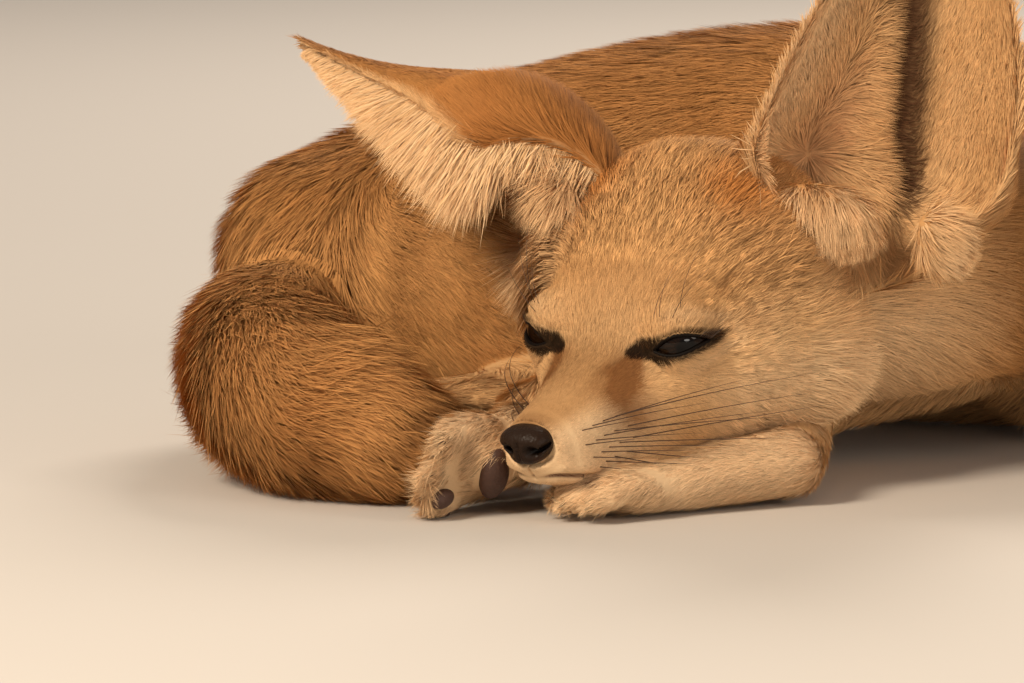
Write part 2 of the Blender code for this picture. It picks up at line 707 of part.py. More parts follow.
def make_tail_length(name, number):
    """One length of the tail: a core, and flat locks that rise off it and lie towards the tip."""
    low, high = TAIL_CUTS[number], TAIL_CUTS[number + 1]
    draw = np.random.default_rng(40 + number)
    last = number == len(TAIL_CUTS) - 2
    core_span = (max(0.0, low - 0.02), high + 0.02 if not last else 0.93)
    caps = (0.8 if number == 0 else 0.02, 1.0 if last else 0.02)
    core = body_part(name, TAIL, 6, 10, span=core_span, scale=TAIL_CORE_SHARE, caps=caps)
    count = TAIL_LOCKS[number]
    rows = max(2, round(count / 9))
    locks = []
    for k in range(count):
        row = k % rows
        share = low + (high - low) * ((row + 0.5) / rows + draw.uniform(-0.05, 0.05))
        share = min(share, 0.94)
        turn = 2 * math.pi * (k // rows + 0.5 * (row % 2)) / math.ceil(count / rows) + draw.uniform(-0.1, 0.1)
        centre, tangent, side, above, radii = (part[0] for part in along(TAIL, [share]))
        full = radii[0]
        lift = side * math.cos(turn) + above * math.sin(turn)
        place = centre + lift * full * TAIL_CORE_SHARE * 0.96
        size = 0.55 + 0.45 * full / 24.0
        length = TAIL_LOCK_LENGTH * size * draw.uniform(0.9, 1.1)
        rise = full * (1 - TAIL_CORE_SHARE) / length + 0.32
        locks.append(lock(
            f"tail_lock_{k}", place, tangent, lift, length, TAIL_LOCK_WIDTH * size * draw.uniform(0.9, 1.15),
            TAIL_LOCK_THICKNESS * size, sink=5.0, rise=rise, bend=0.32,
        ))
    return combine(core, locks, "UNION")


def end_block(stations, share, beyond):
    """A block that covers the neighbourhood past, or short of, one place along a run of stations."""
    centre, tangent, side, above, radii = (part[0] for part in along(stations, [share]))
    half = (radii.max() * 1.6, radii.max() * 1.6, radii.max() * 1.2)
    middle = centre + tangent * beyond * (half[2] - GAP / 2)
    corners = [
        middle + side * half[0] * a + above * half[1] * b + tangent * half[2] * c
        for c in (-1, 1) for a, b in ((-1, -1), (1, -1), (1, 1), (-1, 1))
    ]
    faces = [(0, 1, 2, 3), (4, 5, 6, 7), (0, 1, 5, 4), (1, 2, 6, 5), (2, 3, 7, 6), (3, 0, 4, 7)]
    return mesh_object("end_block", corners, faces)


def floor_block():
    """A wide block whose top is the floor."""
    wide = 600.0
    corners = [
        (a * wide, b * wide, c)
        for c in (-FLOOR_SINK, 0.0) for a, b in ((-1, -1), (1, -1), (1, 1), (-1, 1))
    ]
    faces = [(0, 1, 2, 3), (4, 5, 6, 7), (0, 1, 5, 4), (1, 2, 6, 5), (2, 3, 7, 6), (3, 0, 4, 7)]
    return mesh_object("floor_block", corners, faces)


def bounds(thing):
    points = np.array([v.co for v in thing.data.vertices])
    return points.min(axis=0), points.max(axis=0)


def may_touch(one, two):
    (low_a, high_a), (low_b, high_b) = bounds(one), bounds(two)
    return bool((low_a <= high_b + MM).all() and (low_b <= high_a + MM).all())


def coat(name):
    colour, roughness = COATS[name]
    material = bpy.data.materials.get(name) or bpy.data.materials.new(name)
    material.use_nodes = True
    shader = material.node_tree.nodes["Principled BSDF"]
    shader.inputs["Base Color"].default_value = (*colour, 1.0)
    shader.inputs["Roughness"].default_value = roughness
    return material


def make_nodes():
    """Every node, the ones that stay whole first: (object, material name)."""
    left_ear = ear_frame(EAR_LEFT_ROOT, EAR_LEFT_TIP, EAR_LEFT_OPENING)
    right_ear = ear_frame(EAR_RIGHT_ROOT, EAR_RIGHT_TIP, EAR_RIGHT_OPENING)
    return [
        (make_eye("eye_left", 1), "eye"),
        (make_eye("eye_right", -1), "eye"),
        (make_nose("nose"), "nose"),
        (make_head("head"), "cream"),
        (make_torso_length("chest", 0), "sand"),
        (make_torso_length("belly", 1), "sand"),
        (make_torso_length("rump", 2), "sand"),
        (body_part("neck", NECK, 6, 18), "sand"),
        (body_part("thigh_right", THIGH_RIGHT, 7, 18), "sand"),
        (body_part("thigh_left", THIGH_LEFT, 7, 16), "sand"),
        (body_part("shank_right", SHANK_RIGHT, 5, 10, cap_rings=2), "sand"),
        (body_part("shank_left", SHANK_LEFT, 5, 10, cap_rings=2), "sand"),
        (make_paw("foot_right", FOOT_RIGHT, FOOT_SOLE, 20.0, 7.5), "cream"),
        (make_paw("foot_left", FOOT_LEFT, FOOT_SOLE, 20.0, 7.5), "cream"),
        (make_paw("paw_left", PAW_LEFT, PAW_LEFT_SOLE, 23.0, 9.0), "cream"),
        (make_paw("paw_right", PAW_RIGHT, PAW_RIGHT_SOLE, 23.0, 10.0, with_pads=True), "cream"),
        (body_part("forearm_left", FOREARM_LEFT, 5, 10, cap_rings=2), "cream"),
        (body_part("forearm_right", FOREARM_RIGHT, 5, 10, cap_rings=2), "cream"),
        (body_part("upper_arm_left", UPPER_ARM_LEFT, 5, 10, cap_rings=2), "sand"),
        (body_part("upper_arm_right", UPPER_ARM_RIGHT, 5, 10, cap_rings=2), "sand"),
        (make_ear("ear_left", left_ear, -1), "cream"),
        (make_ear("ear_right", right_ear, 1), "cream"),
        (make_tail_length("tail_root", 0), "rust"),
        (make_tail_length("tail_middle", 1), "rust"),
        (make_tail_length("tail_tip", 2), "dark"),
    ]


def part_neighbours(nodes):
    """Cuts each node clear of every earlier one that it would cross, and flat at the floor."""
    whole = {node.name: grown_copy(node) for node in nodes}
    remove(whole["head"])
    plain_head = head_form("plain_head", HEAD_CUTTER_RINGS, HEAD_CUTTER_SIDES)
    whole["head"] = grown_copy(plain_head, HEAD_CUTTER_ROOM)
    remove(plain_head)
    socketed = {"eye_left", "eye_right", "nose"}
    for i, node in enumerate(nodes):
        for earlier in nodes[:i]:
            if node.name == "head" and earlier.name in socketed:
                continue
            if {node.name, earlier.name} <= TRUNK or {node.name, earlier.name} <= TAIL_NAMES:
                continue
            if may_touch(node, whole[earlier.name]):
                cutter = whole[earlier.name].copy()
                cutter.data = cutter.data.copy()
                bpy.context.scene.collection.objects.link(cutter)
                combine(node, [cutter], "DIFFERENCE")
        if bounds(node)[0][2] < 0:
            combine(node, [floor_block()], "DIFFERENCE")
    for cutter in whole.values():
        remove(cutter)


def part_run(lengths, stations, cuts):
    """Cuts the lengths of one run of stations flat where they meet."""
    for number, length in enumerate(lengths):
        ends = []
        if number > 0:
            ends.append(end_block(stations, cuts[number], -1))
        if number < len(lengths) - 1:
            ends.append(end_block(stations, cuts[number + 1], 1))
        for block in ends:
            combine(length, [block], "DIFFERENCE")


def settle(nodes):
    """Moves the whole fox so that its box stands with the middle of its base at the origin."""
    corners = np.array([bounds(node) for node in nodes])
    low, high = corners[:, 0].min(axis=0), corners[:, 1].max(axis=0)
    shift = -np.array([(low[0] + high[0]) / 2, (low[1] + high[1]) / 2, low[2]])
    stand = bpy.data.objects.new("fennec_fox_place", None)
    bpy.context.scene.collection.objects.link(stand)
    stand.location = shift
    for node in nodes:
        node.parent = stand
    print("moved by", np.round(shift / MM, 2), "mm; box", np.round((high - low) / MM, 1), "mm")


def main():
    clear_scene()
    made = make_nodes()
    nodes = [node for node, _ in made]
    part_run([node for node in nodes if node.name in TRUNK], TORSO, TORSO_CUTS)
    part_run([node for node in nodes if node.name in TAIL_NAMES], TAIL, TAIL_CUTS)
    part_neighbours(nodes)
    body = bpy.data.collections.new("fennec_fox")
    bpy.context.scene.collection.children.link(body)
    for node, colour in made:
        bpy.context.scene.collection.objects.unlink(node)
        body.objects.link(node)
        node.data.materials.clear()
        node.data.materials.append(coat(colour))
        node.data.shade_smooth()
        node.data.set_sharp_from_angle(angle=math.radians(40.0))
        print(node.name, len(node.data.polygons))
    settle(nodes)


main()
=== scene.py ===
"""The looks of the fennec fox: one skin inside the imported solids, a coat of mesh hair that follows its
lie, wet eyes, nose, claws, pads and whiskers, in a soft studio.

Shapes are worked out in millimetres in the solids' own drawing frame (the nose tip above the origin),
as grids of whole arrays, and are moved into the row frame when a mesh is made.
"""

import math

import bpy
import numpy as np
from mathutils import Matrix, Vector, kdtree


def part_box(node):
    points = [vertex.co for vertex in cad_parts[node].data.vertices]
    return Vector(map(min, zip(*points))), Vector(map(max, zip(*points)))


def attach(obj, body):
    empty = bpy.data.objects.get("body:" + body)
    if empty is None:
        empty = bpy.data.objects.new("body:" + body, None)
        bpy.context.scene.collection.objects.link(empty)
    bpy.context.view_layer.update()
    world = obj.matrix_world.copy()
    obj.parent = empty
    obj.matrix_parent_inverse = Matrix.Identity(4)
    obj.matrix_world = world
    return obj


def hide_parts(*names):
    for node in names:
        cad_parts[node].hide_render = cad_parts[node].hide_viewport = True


MM = 0.001
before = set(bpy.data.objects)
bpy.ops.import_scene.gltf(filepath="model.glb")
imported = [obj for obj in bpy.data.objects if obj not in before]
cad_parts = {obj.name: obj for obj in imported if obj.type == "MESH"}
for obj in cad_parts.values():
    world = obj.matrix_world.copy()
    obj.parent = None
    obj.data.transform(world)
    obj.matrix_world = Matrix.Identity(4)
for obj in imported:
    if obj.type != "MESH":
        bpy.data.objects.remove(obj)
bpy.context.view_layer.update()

# The solids' own sizes
WORLD_UP = np.array([0, 0, 1])
NOSE_TIP = np.array([0, 0, 17.5])
HEAD_YAW = math.radians(34)
HEAD_PITCH = math.radians(13)
HEAD_SECTIONS = [
    (1.5, 2.8, 2.8, -5, -1.5), (4.5, 6.9, 4.4, -9.2, -3), (9, 8.8, 5.6, -12, -3.8),
    (15, 9.9, 7, -14.6, -4.2), (21, 11.4, 8.7, -16.8, -4), (27, 13.8, 10.8, -18.6, -3),
    (33, 17.2, 13.6, -20, -1), (39, 21.2, 18.8, -21.2, 1), (46, 25.6, 26.2, -22.5, 1),
    (54, 29.8, 33.6, -24, 0), (63, 33.8, 39.6, -25.6, -1), (72, 36.6, 42.8, -26.6, -2),
    (81, 36.6, 42.6, -25.6, -1), (89, 32, 38, -20, 3), (95, 22.5, 30, -9, 8), (98.5, 10, 21, 2, 11),
]
HEAD_ROUNDNESS = 2.25
HEAD_BUMPS = [
    (33, 13, 8, -1.6, 6), (42, 17.5, 12, 1.4, 7), (44, 15, 22, 1.8, 7), (52, 27.5, 3, 1.6, 10),
    (13, 8.5, -7, 1, 5.5), (33, 0, 13.5, -1.2, 6.5), (27, 13, -2, -0.8, 6),
]
EYE_RADIUS = 7.8
EYE_PLACE = (42.6, 13.5, 11.8)
EYE_TURN = math.radians(40)
SLIT_TILT = math.radians(5.5)
MOUTH_LINE = [(5.5, -8), (10, -9.6), (17, -12), (24, -14), (30, -14.6)]
TORSO = [
    (129, 101, 43, 31, 31, 27), (141, 129, 44, 40, 40, 42), (121, 163, 45, 44, 48, 49),
    (76, 180, 47, 46, 52, 51), (26, 177, 46, 44, 48, 50), (-14, 162, 42, 41, 41, 46),
    (-44, 142, 39, 32, 35, 41),
]
NECK = [
    (48, 66, 42, 27, 28, 27), (75, 84, 45, 31, 29, 31), (105, 98, 47, 34, 29, 29),
    (133, 114, 46, 36, 35, 32),
]
TAIL = [
    (-42, 140, 36, 15, 15, 15), (-53, 118, 32, 19, 19, 19), (-56, 92, 27, 21, 21, 21),
    (-52, 68, 23, 22, 22, 22), (-41, 50, 18.5, 20, 20, 19), (-27, 42, 14, 15, 15, 14),
    (-12, 43, 10, 8, 8, 8),
]
THIGH_RIGHT = [
    (-20, 130, 38, 28, 33, 40), (4, 120, 36, 31, 32, 38), (34, 108, 31, 22, 26, 30),
]
THIGH_LEFT = [
    (-28, 174, 38, 22, 34, 38), (-2, 188, 38, 24, 36, 40), (28, 198, 30, 18, 26, 30),
]
SHANK_RIGHT = [
    (40, 99, 22, 13, 15, 17), (0, 92, 15, 10, 12, 12), (-42, 90, 10, 7.5, 9, 9),
]
SHANK_LEFT = [
    (36, 202, 22, 12, 15, 17), (4, 201, 15, 10, 12, 12), (-30, 196, 10, 7.5, 9, 9),
]
UPPER_ARM_LEFT = [
    (128, 118, 48, 18, 24, 24), (104, 112, 32, 15, 20, 20), (70, 106, 16, 12, 13, 13),
]
UPPER_ARM_RIGHT = [
    (100, 140, 46, 18, 24, 24), (76, 128, 30, 15, 20, 20), (50, 115, 16, 12, 13, 14),
]
FOREARM_LEFT = [
    (64, 99, 13, 10.5, 11, 12.5), (63, 70, 11, 9.5, 10, 11), (61, 42, 10, 9.5, 9, 10.5),
]
FOREARM_RIGHT = [
    (46, 110, 12, 10.5, 11, 12), (26, 84, 12, 9.5, 10, 11.5), (3, 43, 18.5, 9.5, 10, 11),
]
PAWS = {
    # wrist or heel, toe tips, sole, width, thickness, pads shown
    "paw_left": ((61, 36, 9.5), (9, 9, 4.6), (0, 0, -1), 23, 9, False),
    "paw_right": ((1.5, 31, 15), (-20.5, 7.5, 8.5), (0.20, -0.90, -0.40), 23, 10, True),
    "foot_right": ((-50, 88, 9), (1, 71, 20), (0, 0, -1), 20, 7.5, False),
    "foot_left": ((-38, 196, 8.5), (34, 214, 6.5), (0, 0, -1), 20, 7.5, False),
}
EAR_LENGTH = 98
EAR_WALL = 2.6
EAR_SECTIONS = [
    (-0.20, 12, 16, 120), (0.02, 24, 25, 118), (0.12, 29.5, 26, 112), (0.25, 29, 23, 102),
    (0.42, 25.5, 17.5, 92), (0.60, 19.5, 11.5, 80), (0.78, 12, 6, 64), (0.92, 5.6, 2.4, 50),
    (1, 1.6, 1, 40),
]
EAR_FOOT_TRIM = 0.20
EAR_BEND = 5
# swellings round an ear's foot, plug then lobe: place, half-sizes, and how far the skin lies within them
EAR_SWELLINGS = {
    "left": (((-8, 3, -3), (14, 20, 11), 6.5), ((19, 3, 3), (12, 9.5, 7), 3)),
    "right": (((3, -5, -8), (15, 17, 9), 3.5), ((19, 3, 3), (12, 9.5, 7), 3)),
}
# the way the hair is combed on those swellings, and its length there
EAR_COMBS = {
    "left": (((0.10, -0.10, -1.00), 9), ((0.80, 0.10, -0.45), 8)),
    "right": (((-0.50, -0.10, -0.85), 13), ((-0.60, -0.20, -0.75), 16)),
}
EARS = {
    "left": ((74, 40, 60), (93, 46, 156), (-0.12, -0.98, 0), -1),
    "right": ((1.5, 70, 61.5), (-50.5, 145.5, 93.5), (-0.69, -0.18, -0.70), 1),
}

# Colours, linear
CREAM = (0.74, 0.46, 0.225)
PALE = (0.82, 0.57, 0.335)
SAND = (0.61, 0.32, 0.122)
GOLD = (0.49, 0.225, 0.07)
RUST = (0.35, 0.125, 0.032)
BROWN = (0.15, 0.062, 0.022)
DARK = (0.010, 0.005, 0.003)
# painted shade in the ear's deep hollow
HOLLOW_SHADE = (0.055, 0.020, 0.010)
FOX_RED = (0.50, 0.18, 0.04)
LIP = (0.085, 0.026, 0.018)
EAR_SKIN = (0.58, 0.25, 0.12)
POCKET = (0.45, 0.15, 0.06)
PUPIL = (0.002, 0.0015, 0.0015)
IRIS = (0.012, 0.005, 0.002)
IRIS_STREAK = (0.005, 0.0025, 0.0015)
EYE_WHITE = (0.006, 0.0035, 0.0025)
NOSE_DARK = (0.018, 0.009, 0.005)
# painted shade inside the nostril holes
NOSTRIL_SHADE = (0.003, 0.0015, 0.001)
NOSE_EDGE = (0.10, 0.036, 0.022)


def unit(vector):
    vector = np.asarray(vector, float)
    return vector / np.maximum(np.linalg.norm(vector, axis=-1, keepdims=True), 1e-12)


def smooth(rows, at):
    """Columns of rows on a smooth curve through them, at places along the first column."""
    rows = np.asarray(rows, float)
    places, values = rows[:, 0], rows[:, 1:]
    slopes = np.gradient(values, places, axis=0)
    at = np.clip(np.asarray(at, float), places[0], places[-1])
    i = np.clip(np.searchsorted(places, at, side="right") - 1, 0, len(places) - 2)
    span = (places[i + 1] - places[i])[:, None]
    s = ((at - places[i]) / span[:, 0])[:, None]
    return (
        values[i] * (2 * s**3 - 3 * s**2 + 1)
        + slopes[i] * span * (s**3 - 2 * s**2 + s)
        + values[i + 1] * (3 * s**2 - 2 * s**3)
        + slopes[i + 1] * span * (s**3 - s**2)
    )


def ramp(low, high, value):
    """0 below low, 1 above high, smooth between."""
    s = np.clip((np.asarray(value, float) - low) / (high - low), 0, 1)
    return s * s * (3 - 2 * s)


def mix(a, b, share):
    return np.asarray(a, float) + (np.asarray(b, float) - np.asarray(a, float)) * np.asarray(share)[..., None]


def layered(colour, *layers):
    """Markings laid over a colour one after another: each a colour and its share at every point."""
    for other, share in layers:
        colour = mix(colour, other, share)
    return colour


def bell(value, middle, spread):
    """1 at the middle, falling to 0 on both sides of it."""
    return np.exp(-(((value - middle) / spread) ** 2))


def grid_faces(rows, columns, close=False):
    """Triangles of a grid of points, running round its columns, and its rows where it is closed in both."""
    i, j = np.meshgrid(np.arange(rows), np.arange(columns), indexing="ij")
    n, m = (i + 1) % (rows + 1 - close), (j + 1) % columns
    a, b, c, d = i * columns + j, i * columns + m, n * columns + m, n * columns + j
    return np.concatenate([np.stack([a, b, c], -1).reshape(-1, 3), np.stack([a, c, d], -1).reshape(-1, 3)])


def waves(points, scale, seed, count=9):
    """Smooth noise from -1 to 1: a sum of sine waves of about one wavelength in many directions."""
    draw = np.random.default_rng(seed)
    total = np.zeros(len(points))
    for _ in range(count):
        way = unit(draw.normal(size=3)) * 2 * math.pi / (scale * draw.uniform(0.7, 1.5))
        total += np.sin(points @ way + draw.uniform(0, 2 * math.pi))
    return total / count * 1.6


def along(stations, shares):
    stations = np.asarray(stations, float)
    steps = np.linalg.norm(np.diff(stations[:, :3], axis=0), axis=1)
    reach = np.concatenate([[0], np.cumsum(steps)])
    rows = np.column_stack([reach, stations])
    shares = np.atleast_1d(np.asarray(shares, float))
    got = smooth(rows, shares * reach[-1])
    ahead = smooth(rows, np.clip(shares + 0.01, 0, 1) * reach[-1])[:, :3]
    behind = smooth(rows, np.clip(shares - 0.01, 0, 1) * reach[-1])[:, :3]
    tangent = unit(ahead - behind)
    side = unit(np.cross(tangent, WORLD_UP))
    return got[:, :3], tangent, side, np.cross(side, tangent), got[:, 3:]


def tube(stations, inset=0, rings=40, sides=40, scale=1, caps=(0.8, 0.8), thinnest=2):
    """Closed grid round a run of stations, drawn in by the coat's depth: oval rings and rounded ends."""
    centre, tangent, side, above, radii = along(stations, np.linspace(0, 1, rings))
    radii = np.maximum(radii * scale - inset, thinnest)
    turn = np.linspace(0, 2 * math.pi, sides, endpoint=False)[None, :, None]
    lift = np.where(np.sin(turn) > 0, radii[:, None, 1:2], radii[:, None, 2:3]) * np.sin(turn)
    offset = side[:, None] * np.cos(turn) * radii[:, None, 0:1] + above[:, None] * lift
    body = centre[:, None] + offset
    ends = []
    for k, way, cap in ((0, -1, caps[0]), (-1, 1, caps[1])):
        angle = np.linspace(math.pi / 2, 0, 8)[1:-1][:: 1 if way < 0 else -1][:, None, None]
        bulge = tangent[k] * way * cap * radii[k].mean()
        ends.append(centre[k] + bulge * np.sin(angle) + offset[k][None] * np.cos(angle))
    first_pole = centre[0] - tangent[0] * caps[0] * radii[0].mean()
    last_pole = centre[-1] + tangent[-1] * caps[1] * radii[-1].mean()
    return np.concatenate([ends[0], body, ends[1]]), [first_pole, last_pole]


def closed(grid, poles):
    """Points and triangles of rings that close round and end in two poles."""
    rows, sides = grid.shape[:2]
    points = np.concatenate([grid.reshape(-1, 3), np.array(poles)])
    quads = grid_faces(rows - 1, sides)
    j = np.arange(sides)
    k = (j + 1) % sides
    start = np.stack([np.full(sides, rows * sides), k, j], -1)
    end = np.stack([np.full(sides, rows * sides + 1), (rows - 1) * sides + j, (rows - 1) * sides + k], -1)
    return points, np.concatenate([start, quads, end])


def ball(centre, axes, halves, rings=14, sides=24):
    """Closed ellipsoid on three axes."""
    turn = np.linspace(0, math.pi, rings + 2)[1:-1, None]
    around = np.linspace(0, 2 * math.pi, sides, endpoint=False)[None]
    local = np.stack([
        -np.cos(turn) * np.ones_like(around) * halves[0],
        np.sin(turn) * np.cos(around) * halves[1],
        np.sin(turn) * np.sin(around) * halves[2],
    ], -1)
    axes = np.asarray(axes, float)
    return closed(centre + local @ axes, [centre - axes[0] * halves[0], centre + axes[0] * halves[0]])


def join(pieces):
    points, faces, start = [], [], 0
    for p, f in pieces:
        points.append(p)
        faces.append(np.asarray(f) + start)
        start += len(p)
    return np.concatenate(points), np.concatenate(faces)


def normals_of(points, faces):
    a, b, c = points[faces[:, 0]], points[faces[:, 1]], points[faces[:, 2]]
    face = np.cross(b - a, c - a)
    total = np.zeros_like(points)
    for k in range(3):
        np.add.at(total, faces[:, k], face)
    return unit(total)


# Head frame and form
def head_axes():
    """Back, left and up of the head."""
    level = np.array([-math.sin(HEAD_YAW), -math.cos(HEAD_YAW), 0])
    forward = math.cos(HEAD_PITCH) * level - math.sin(HEAD_PITCH) * WORLD_UP
    up = math.sin(HEAD_PITCH) * level + math.cos(HEAD_PITCH) * WORLD_UP
    return np.array([-forward, [math.cos(HEAD_YAW), -math.sin(HEAD_YAW), 0], up])


HEAD = head_axes()


def from_head(points):
    return NOSE_TIP + np.asarray(points, float) @ HEAD


def to_head(points):
    return (np.asarray(points, float) - NOSE_TIP) @ HEAD.T


def eye_seat(side):
    """Centre of the solids' eyeball in the head frame."""
    return np.array([EYE_PLACE[0], EYE_PLACE[1] * side, EYE_PLACE[2]])


def eye_frame(side):
    """Centre of the eyeball, and out of it, along the slit to the temple, and up, in the head frame."""
    out = unit(np.array([-math.cos(EYE_TURN), side * math.sin(EYE_TURN), 0.12]))
    temple = unit(np.cross(np.array([0, 0, 1]), out))
    temple = temple if temple[0] > 0 else -temple
    rise = unit(np.array([0, 0, 1]) - out * out[2])
    slit = temple * math.cos(SLIT_TILT) + rise * math.sin(SLIT_TILT)
    above = np.cross(out, slit)
    above = above if above[2] > 0 else -above
    return eye_seat(side) + slit * 1.8 - above * 1, np.array([out, slit, above])


def by_eye(points, side):
    """Head-frame places measured from the eyeball's middle: out of it, along the slit, and above it."""
    centre, axes = eye_frame(side)
    return tuple((points - centre) @ axis for axis in axes)


# along the slit from the nose to the temple: upper and lower edge of the opening, then of its dark surround
OPENING = [
    (-6.4, 0, 0), (-5.2, 0.95, -0.85), (-3.6, 1.95, -1.55), (-1.4, 2.45, -1.85), (1.2, 2.15, -1.6),
    (3.6, 1.3, -1.15), (5.6, 0.35, -0.9), (7, -0.5, -0.6),
]
SURROUND = [
    (-13.4, -0.3, -0.5), (-12.6, 0.25, -1.1), (-11.4, 0.7, -1.5), (-9.4, 1.05, -1.85),
    (-6.4, 1.6, -2.25), (-3.3, 2.4, -2.4), (-1, 2.85, -2.45), (2, 2.4, -2.1), (4.5, 1.4, -1.75),
    (7, 0.3, -1.4), (8.8, -0.5, -0.9),
]


def within(rows, a, b):
    """Distance inside an outline given by its upper and lower edge along the slit; negative outside it."""
    table = np.array(rows)
    upper, lower = (np.interp(a, table[:, 0], table[:, k]) for k in (1, 2))
    ends = np.minimum(a - table[0, 0], table[-1, 0] - a)
    return np.minimum(np.minimum(upper - b, b - lower), ends)


def head_inset(back):
    """Depth of the coat over the head at places back from the nose."""
    return np.interp(back, [0, 4, 10, 30, 40, 52, 64, 80, 98], [0.1, 0.2, 0.35, 0.7, 1.4, 3, 4.6, 5.5, 5.5])


def head_surface(back, turn, plain=0):
    """Head-frame points: each section's oval with its own top and bottom, bumps, lids and lips."""
    half_width, top, bottom, level = smooth(HEAD_SECTIONS, back.ravel()).T.reshape(4, *back.shape)
    inset = head_inset(back) + plain
    half_width = np.maximum(half_width - inset, 0.8)
    top, bottom = np.maximum(top - inset, level + 0.8), np.minimum(bottom + inset, level - 0.8)
    power = 2 / HEAD_ROUNDNESS
    across = np.sign(np.cos(turn)) * np.abs(np.cos(turn)) ** power * half_width
    lift = np.sign(np.sin(turn)) * np.abs(np.sin(turn)) ** power
    height = level + np.where(lift > 0, top - level, level - bottom) * lift
    points = np.stack([back, across, height], axis=-1)
    outward = unit(np.stack([np.zeros_like(back), across, height - level], axis=-1) + 1e-9)
    for at_back, at_left, at_up, push, spread in HEAD_BUMPS:
        for side in (1, -1) if at_left else (1,):
            offset = points - np.array([at_back, at_left * side, at_up])
            points = points + outward * (push * np.exp(-np.sum(offset**2, -1) / spread**2))[..., None]
    if plain:
        return points
    # line of the mouth, with a full lip above and below it
    line = np.interp(points[..., 0], *np.array(MOUTH_LINE).T)
    gap = points[..., 2] - line
    here = ramp(3.6, 5.5, points[..., 0]) * ramp(34, 27, points[..., 0])
    shift = -1.7 * bell(gap, 0, 0.5) + 0.6 * bell(gap, 1.7, 1.2)
    shift = shift + 0.35 * bell(gap, -1.5, 0.9)
    points = points + outward * (here * shift)[..., None]
    # groove from the nose pad down to the lip, and room for the pad
    front = ramp(9, 5, points[..., 0]) * ramp(-2.5, -4.5, points[..., 2]) * ramp(-9.5, -8, points[..., 2])
    points[..., 0] += 0.9 * front * bell(points[..., 1], 0, 0.45)
    behind = np.abs(points[..., 1] / 6.6) ** 2.5 + np.abs((points[..., 2] + 0.4) / 4.7) ** 2.5
    room = ramp(1.25, 0.85, behind) * ramp(9, 5, points[..., 0])
    points[..., 0] = np.maximum(points[..., 0], points[..., 0] * (1 - room) + 4.6 * room)
    # lids: wrapped over the eyeball, open along the slit
    for side in (1, -1):
        centre, axes = eye_frame(side)
        offset = points - centre
        reach = np.linalg.norm(offset, axis=-1)
        way = offset / np.maximum(reach, 1e-6)[..., None]
        out, a, b = (offset @ axis for axis in axes)
        front = ramp(-6, -2, out)
        lid = EYE_RADIUS + 0.9
        soft = 1.1
        full = soft * np.logaddexp(reach / soft, lid / soft)
        wrap = front * ramp(16, 10, np.hypot(a, b))
        covered = reach + (full - reach) * wrap
        a2, b2 = way @ axes[1] * lid, way @ axes[2] * lid
        inside = within(OPENING, a2, b2)
        opened = ramp(-0.15, 0.3, inside) * ramp(0, 1.5, out)
        edge = bell(inside, -0.45, 0.4) * ramp(0, 2, out)
        crease = bell(within(SURROUND, a2, b2), -0.9, 0.5) * (b2 > 0) * ramp(0, 2, out)
        covered = covered + 0.25 * edge - 0.35 * crease
        covered = covered * (1 - opened) + (EYE_RADIUS - 1.6) * opened
        points = centre + way * covered[..., None]
    return points


def head_grid(rings, sides, plain=0):
    """The head as a closed grid, finer round the eyes, with its own two coordinates."""
    first, last = HEAD_SECTIONS[0][0], HEAD_SECTIONS[-1][0]
    pace = np.linspace(first, last, 800)
    weight = 1 + 1.6 * bell(pace, 39, 9) + 1.2 * bell(pace, 6, 6)
    weight += 2 * bell(pace, last, 3)
    total = np.concatenate([[0], np.cumsum((weight[1:] + weight[:-1]) / 2)])
    back = np.interp(np.linspace(0, total[-1], rings), total, pace)
    spin = np.linspace(-math.pi / 2, 1.5 * math.pi, 800)
    weight = 1 + sum(1.3 * bell(spin, at, 0.35) for at in (0.55, math.pi - 0.55))
    total = np.concatenate([[0], np.cumsum((weight[1:] + weight[:-1]) / 2)])
    turn = np.interp(np.linspace(0, total[-1], sides + 1)[:-1], total, spin)
    back, turn = np.meshgrid(back, turn, indexing="ij")
    grid = head_surface(back, turn, plain)
    first_pole = np.append(first - 1, grid[0, :, 1:].mean(axis=0))
    last_pole = np.append(last + 1.5, grid[-1, :, 1:].mean(axis=0))
    points, faces = closed(from_head(grid), [from_head(first_pole), from_head(last_pole)])
    return points, faces, np.append(back.ravel(), [first, last]), np.append(turn.ravel(), [0, 0])


# Ears and paws
def ear_frame(name):
    """Root, up the ear, out of its opening, across it, and which side of the head it is on."""
    root, tip, opening, side = EARS[name]
    root = np.asarray(root, float)
    up = unit(np.asarray(tip, float) - root)
    opening = np.asarray(opening, float)
    out = unit(opening - up * np.dot(opening, up))
    return root, up, out, np.cross(up, out), side


def swellings(name):
    """The skin's plug and lobe at an ear's foot: middle, axes and half-sizes of each."""
    root, up, out, across, side = ear_frame(name)
    for place, halves, drawn_in in EAR_SWELLINGS[name]:
        centre = root - across * side * place[0] + up * place[1] + out * place[2]
        yield centre, [up, across, out], np.array(halves) - drawn_in


def ear_sheet(ear, share, swing, inset):
    """Points of the ear's cup: a curl of the section's half-angle, bulging away from the opening."""
    root, up, out, across, side = ear
    half_width, depth, curl = smooth(EAR_SECTIONS, share.ravel()).T.reshape(3, *share.shape)
    curl = np.radians(curl)
    half_width = np.maximum(half_width - inset, 0.4)
    depth = np.maximum(depth - inset, 0.2)
    widest = np.where(curl > math.pi / 2, 1, np.sin(curl))
    x = half_width * np.sin(swing * curl) / widest
    y = -depth * (np.cos(swing * curl) - np.cos(curl)) / (1 - np.cos(curl))
    lean = -side * EAR_BEND * np.sin(math.pi * np.clip(share, 0, 1))
    fold = 1.6 * bell(swing, 0.55, 0.12) * ramp(0.02, 0.2, share) * ramp(0.95, 0.55, share)
    return (
        root + up * (share * EAR_LENGTH)[..., None] + across * (x * side + lean)[..., None]
        + out * (y + fold)[..., None]
    )


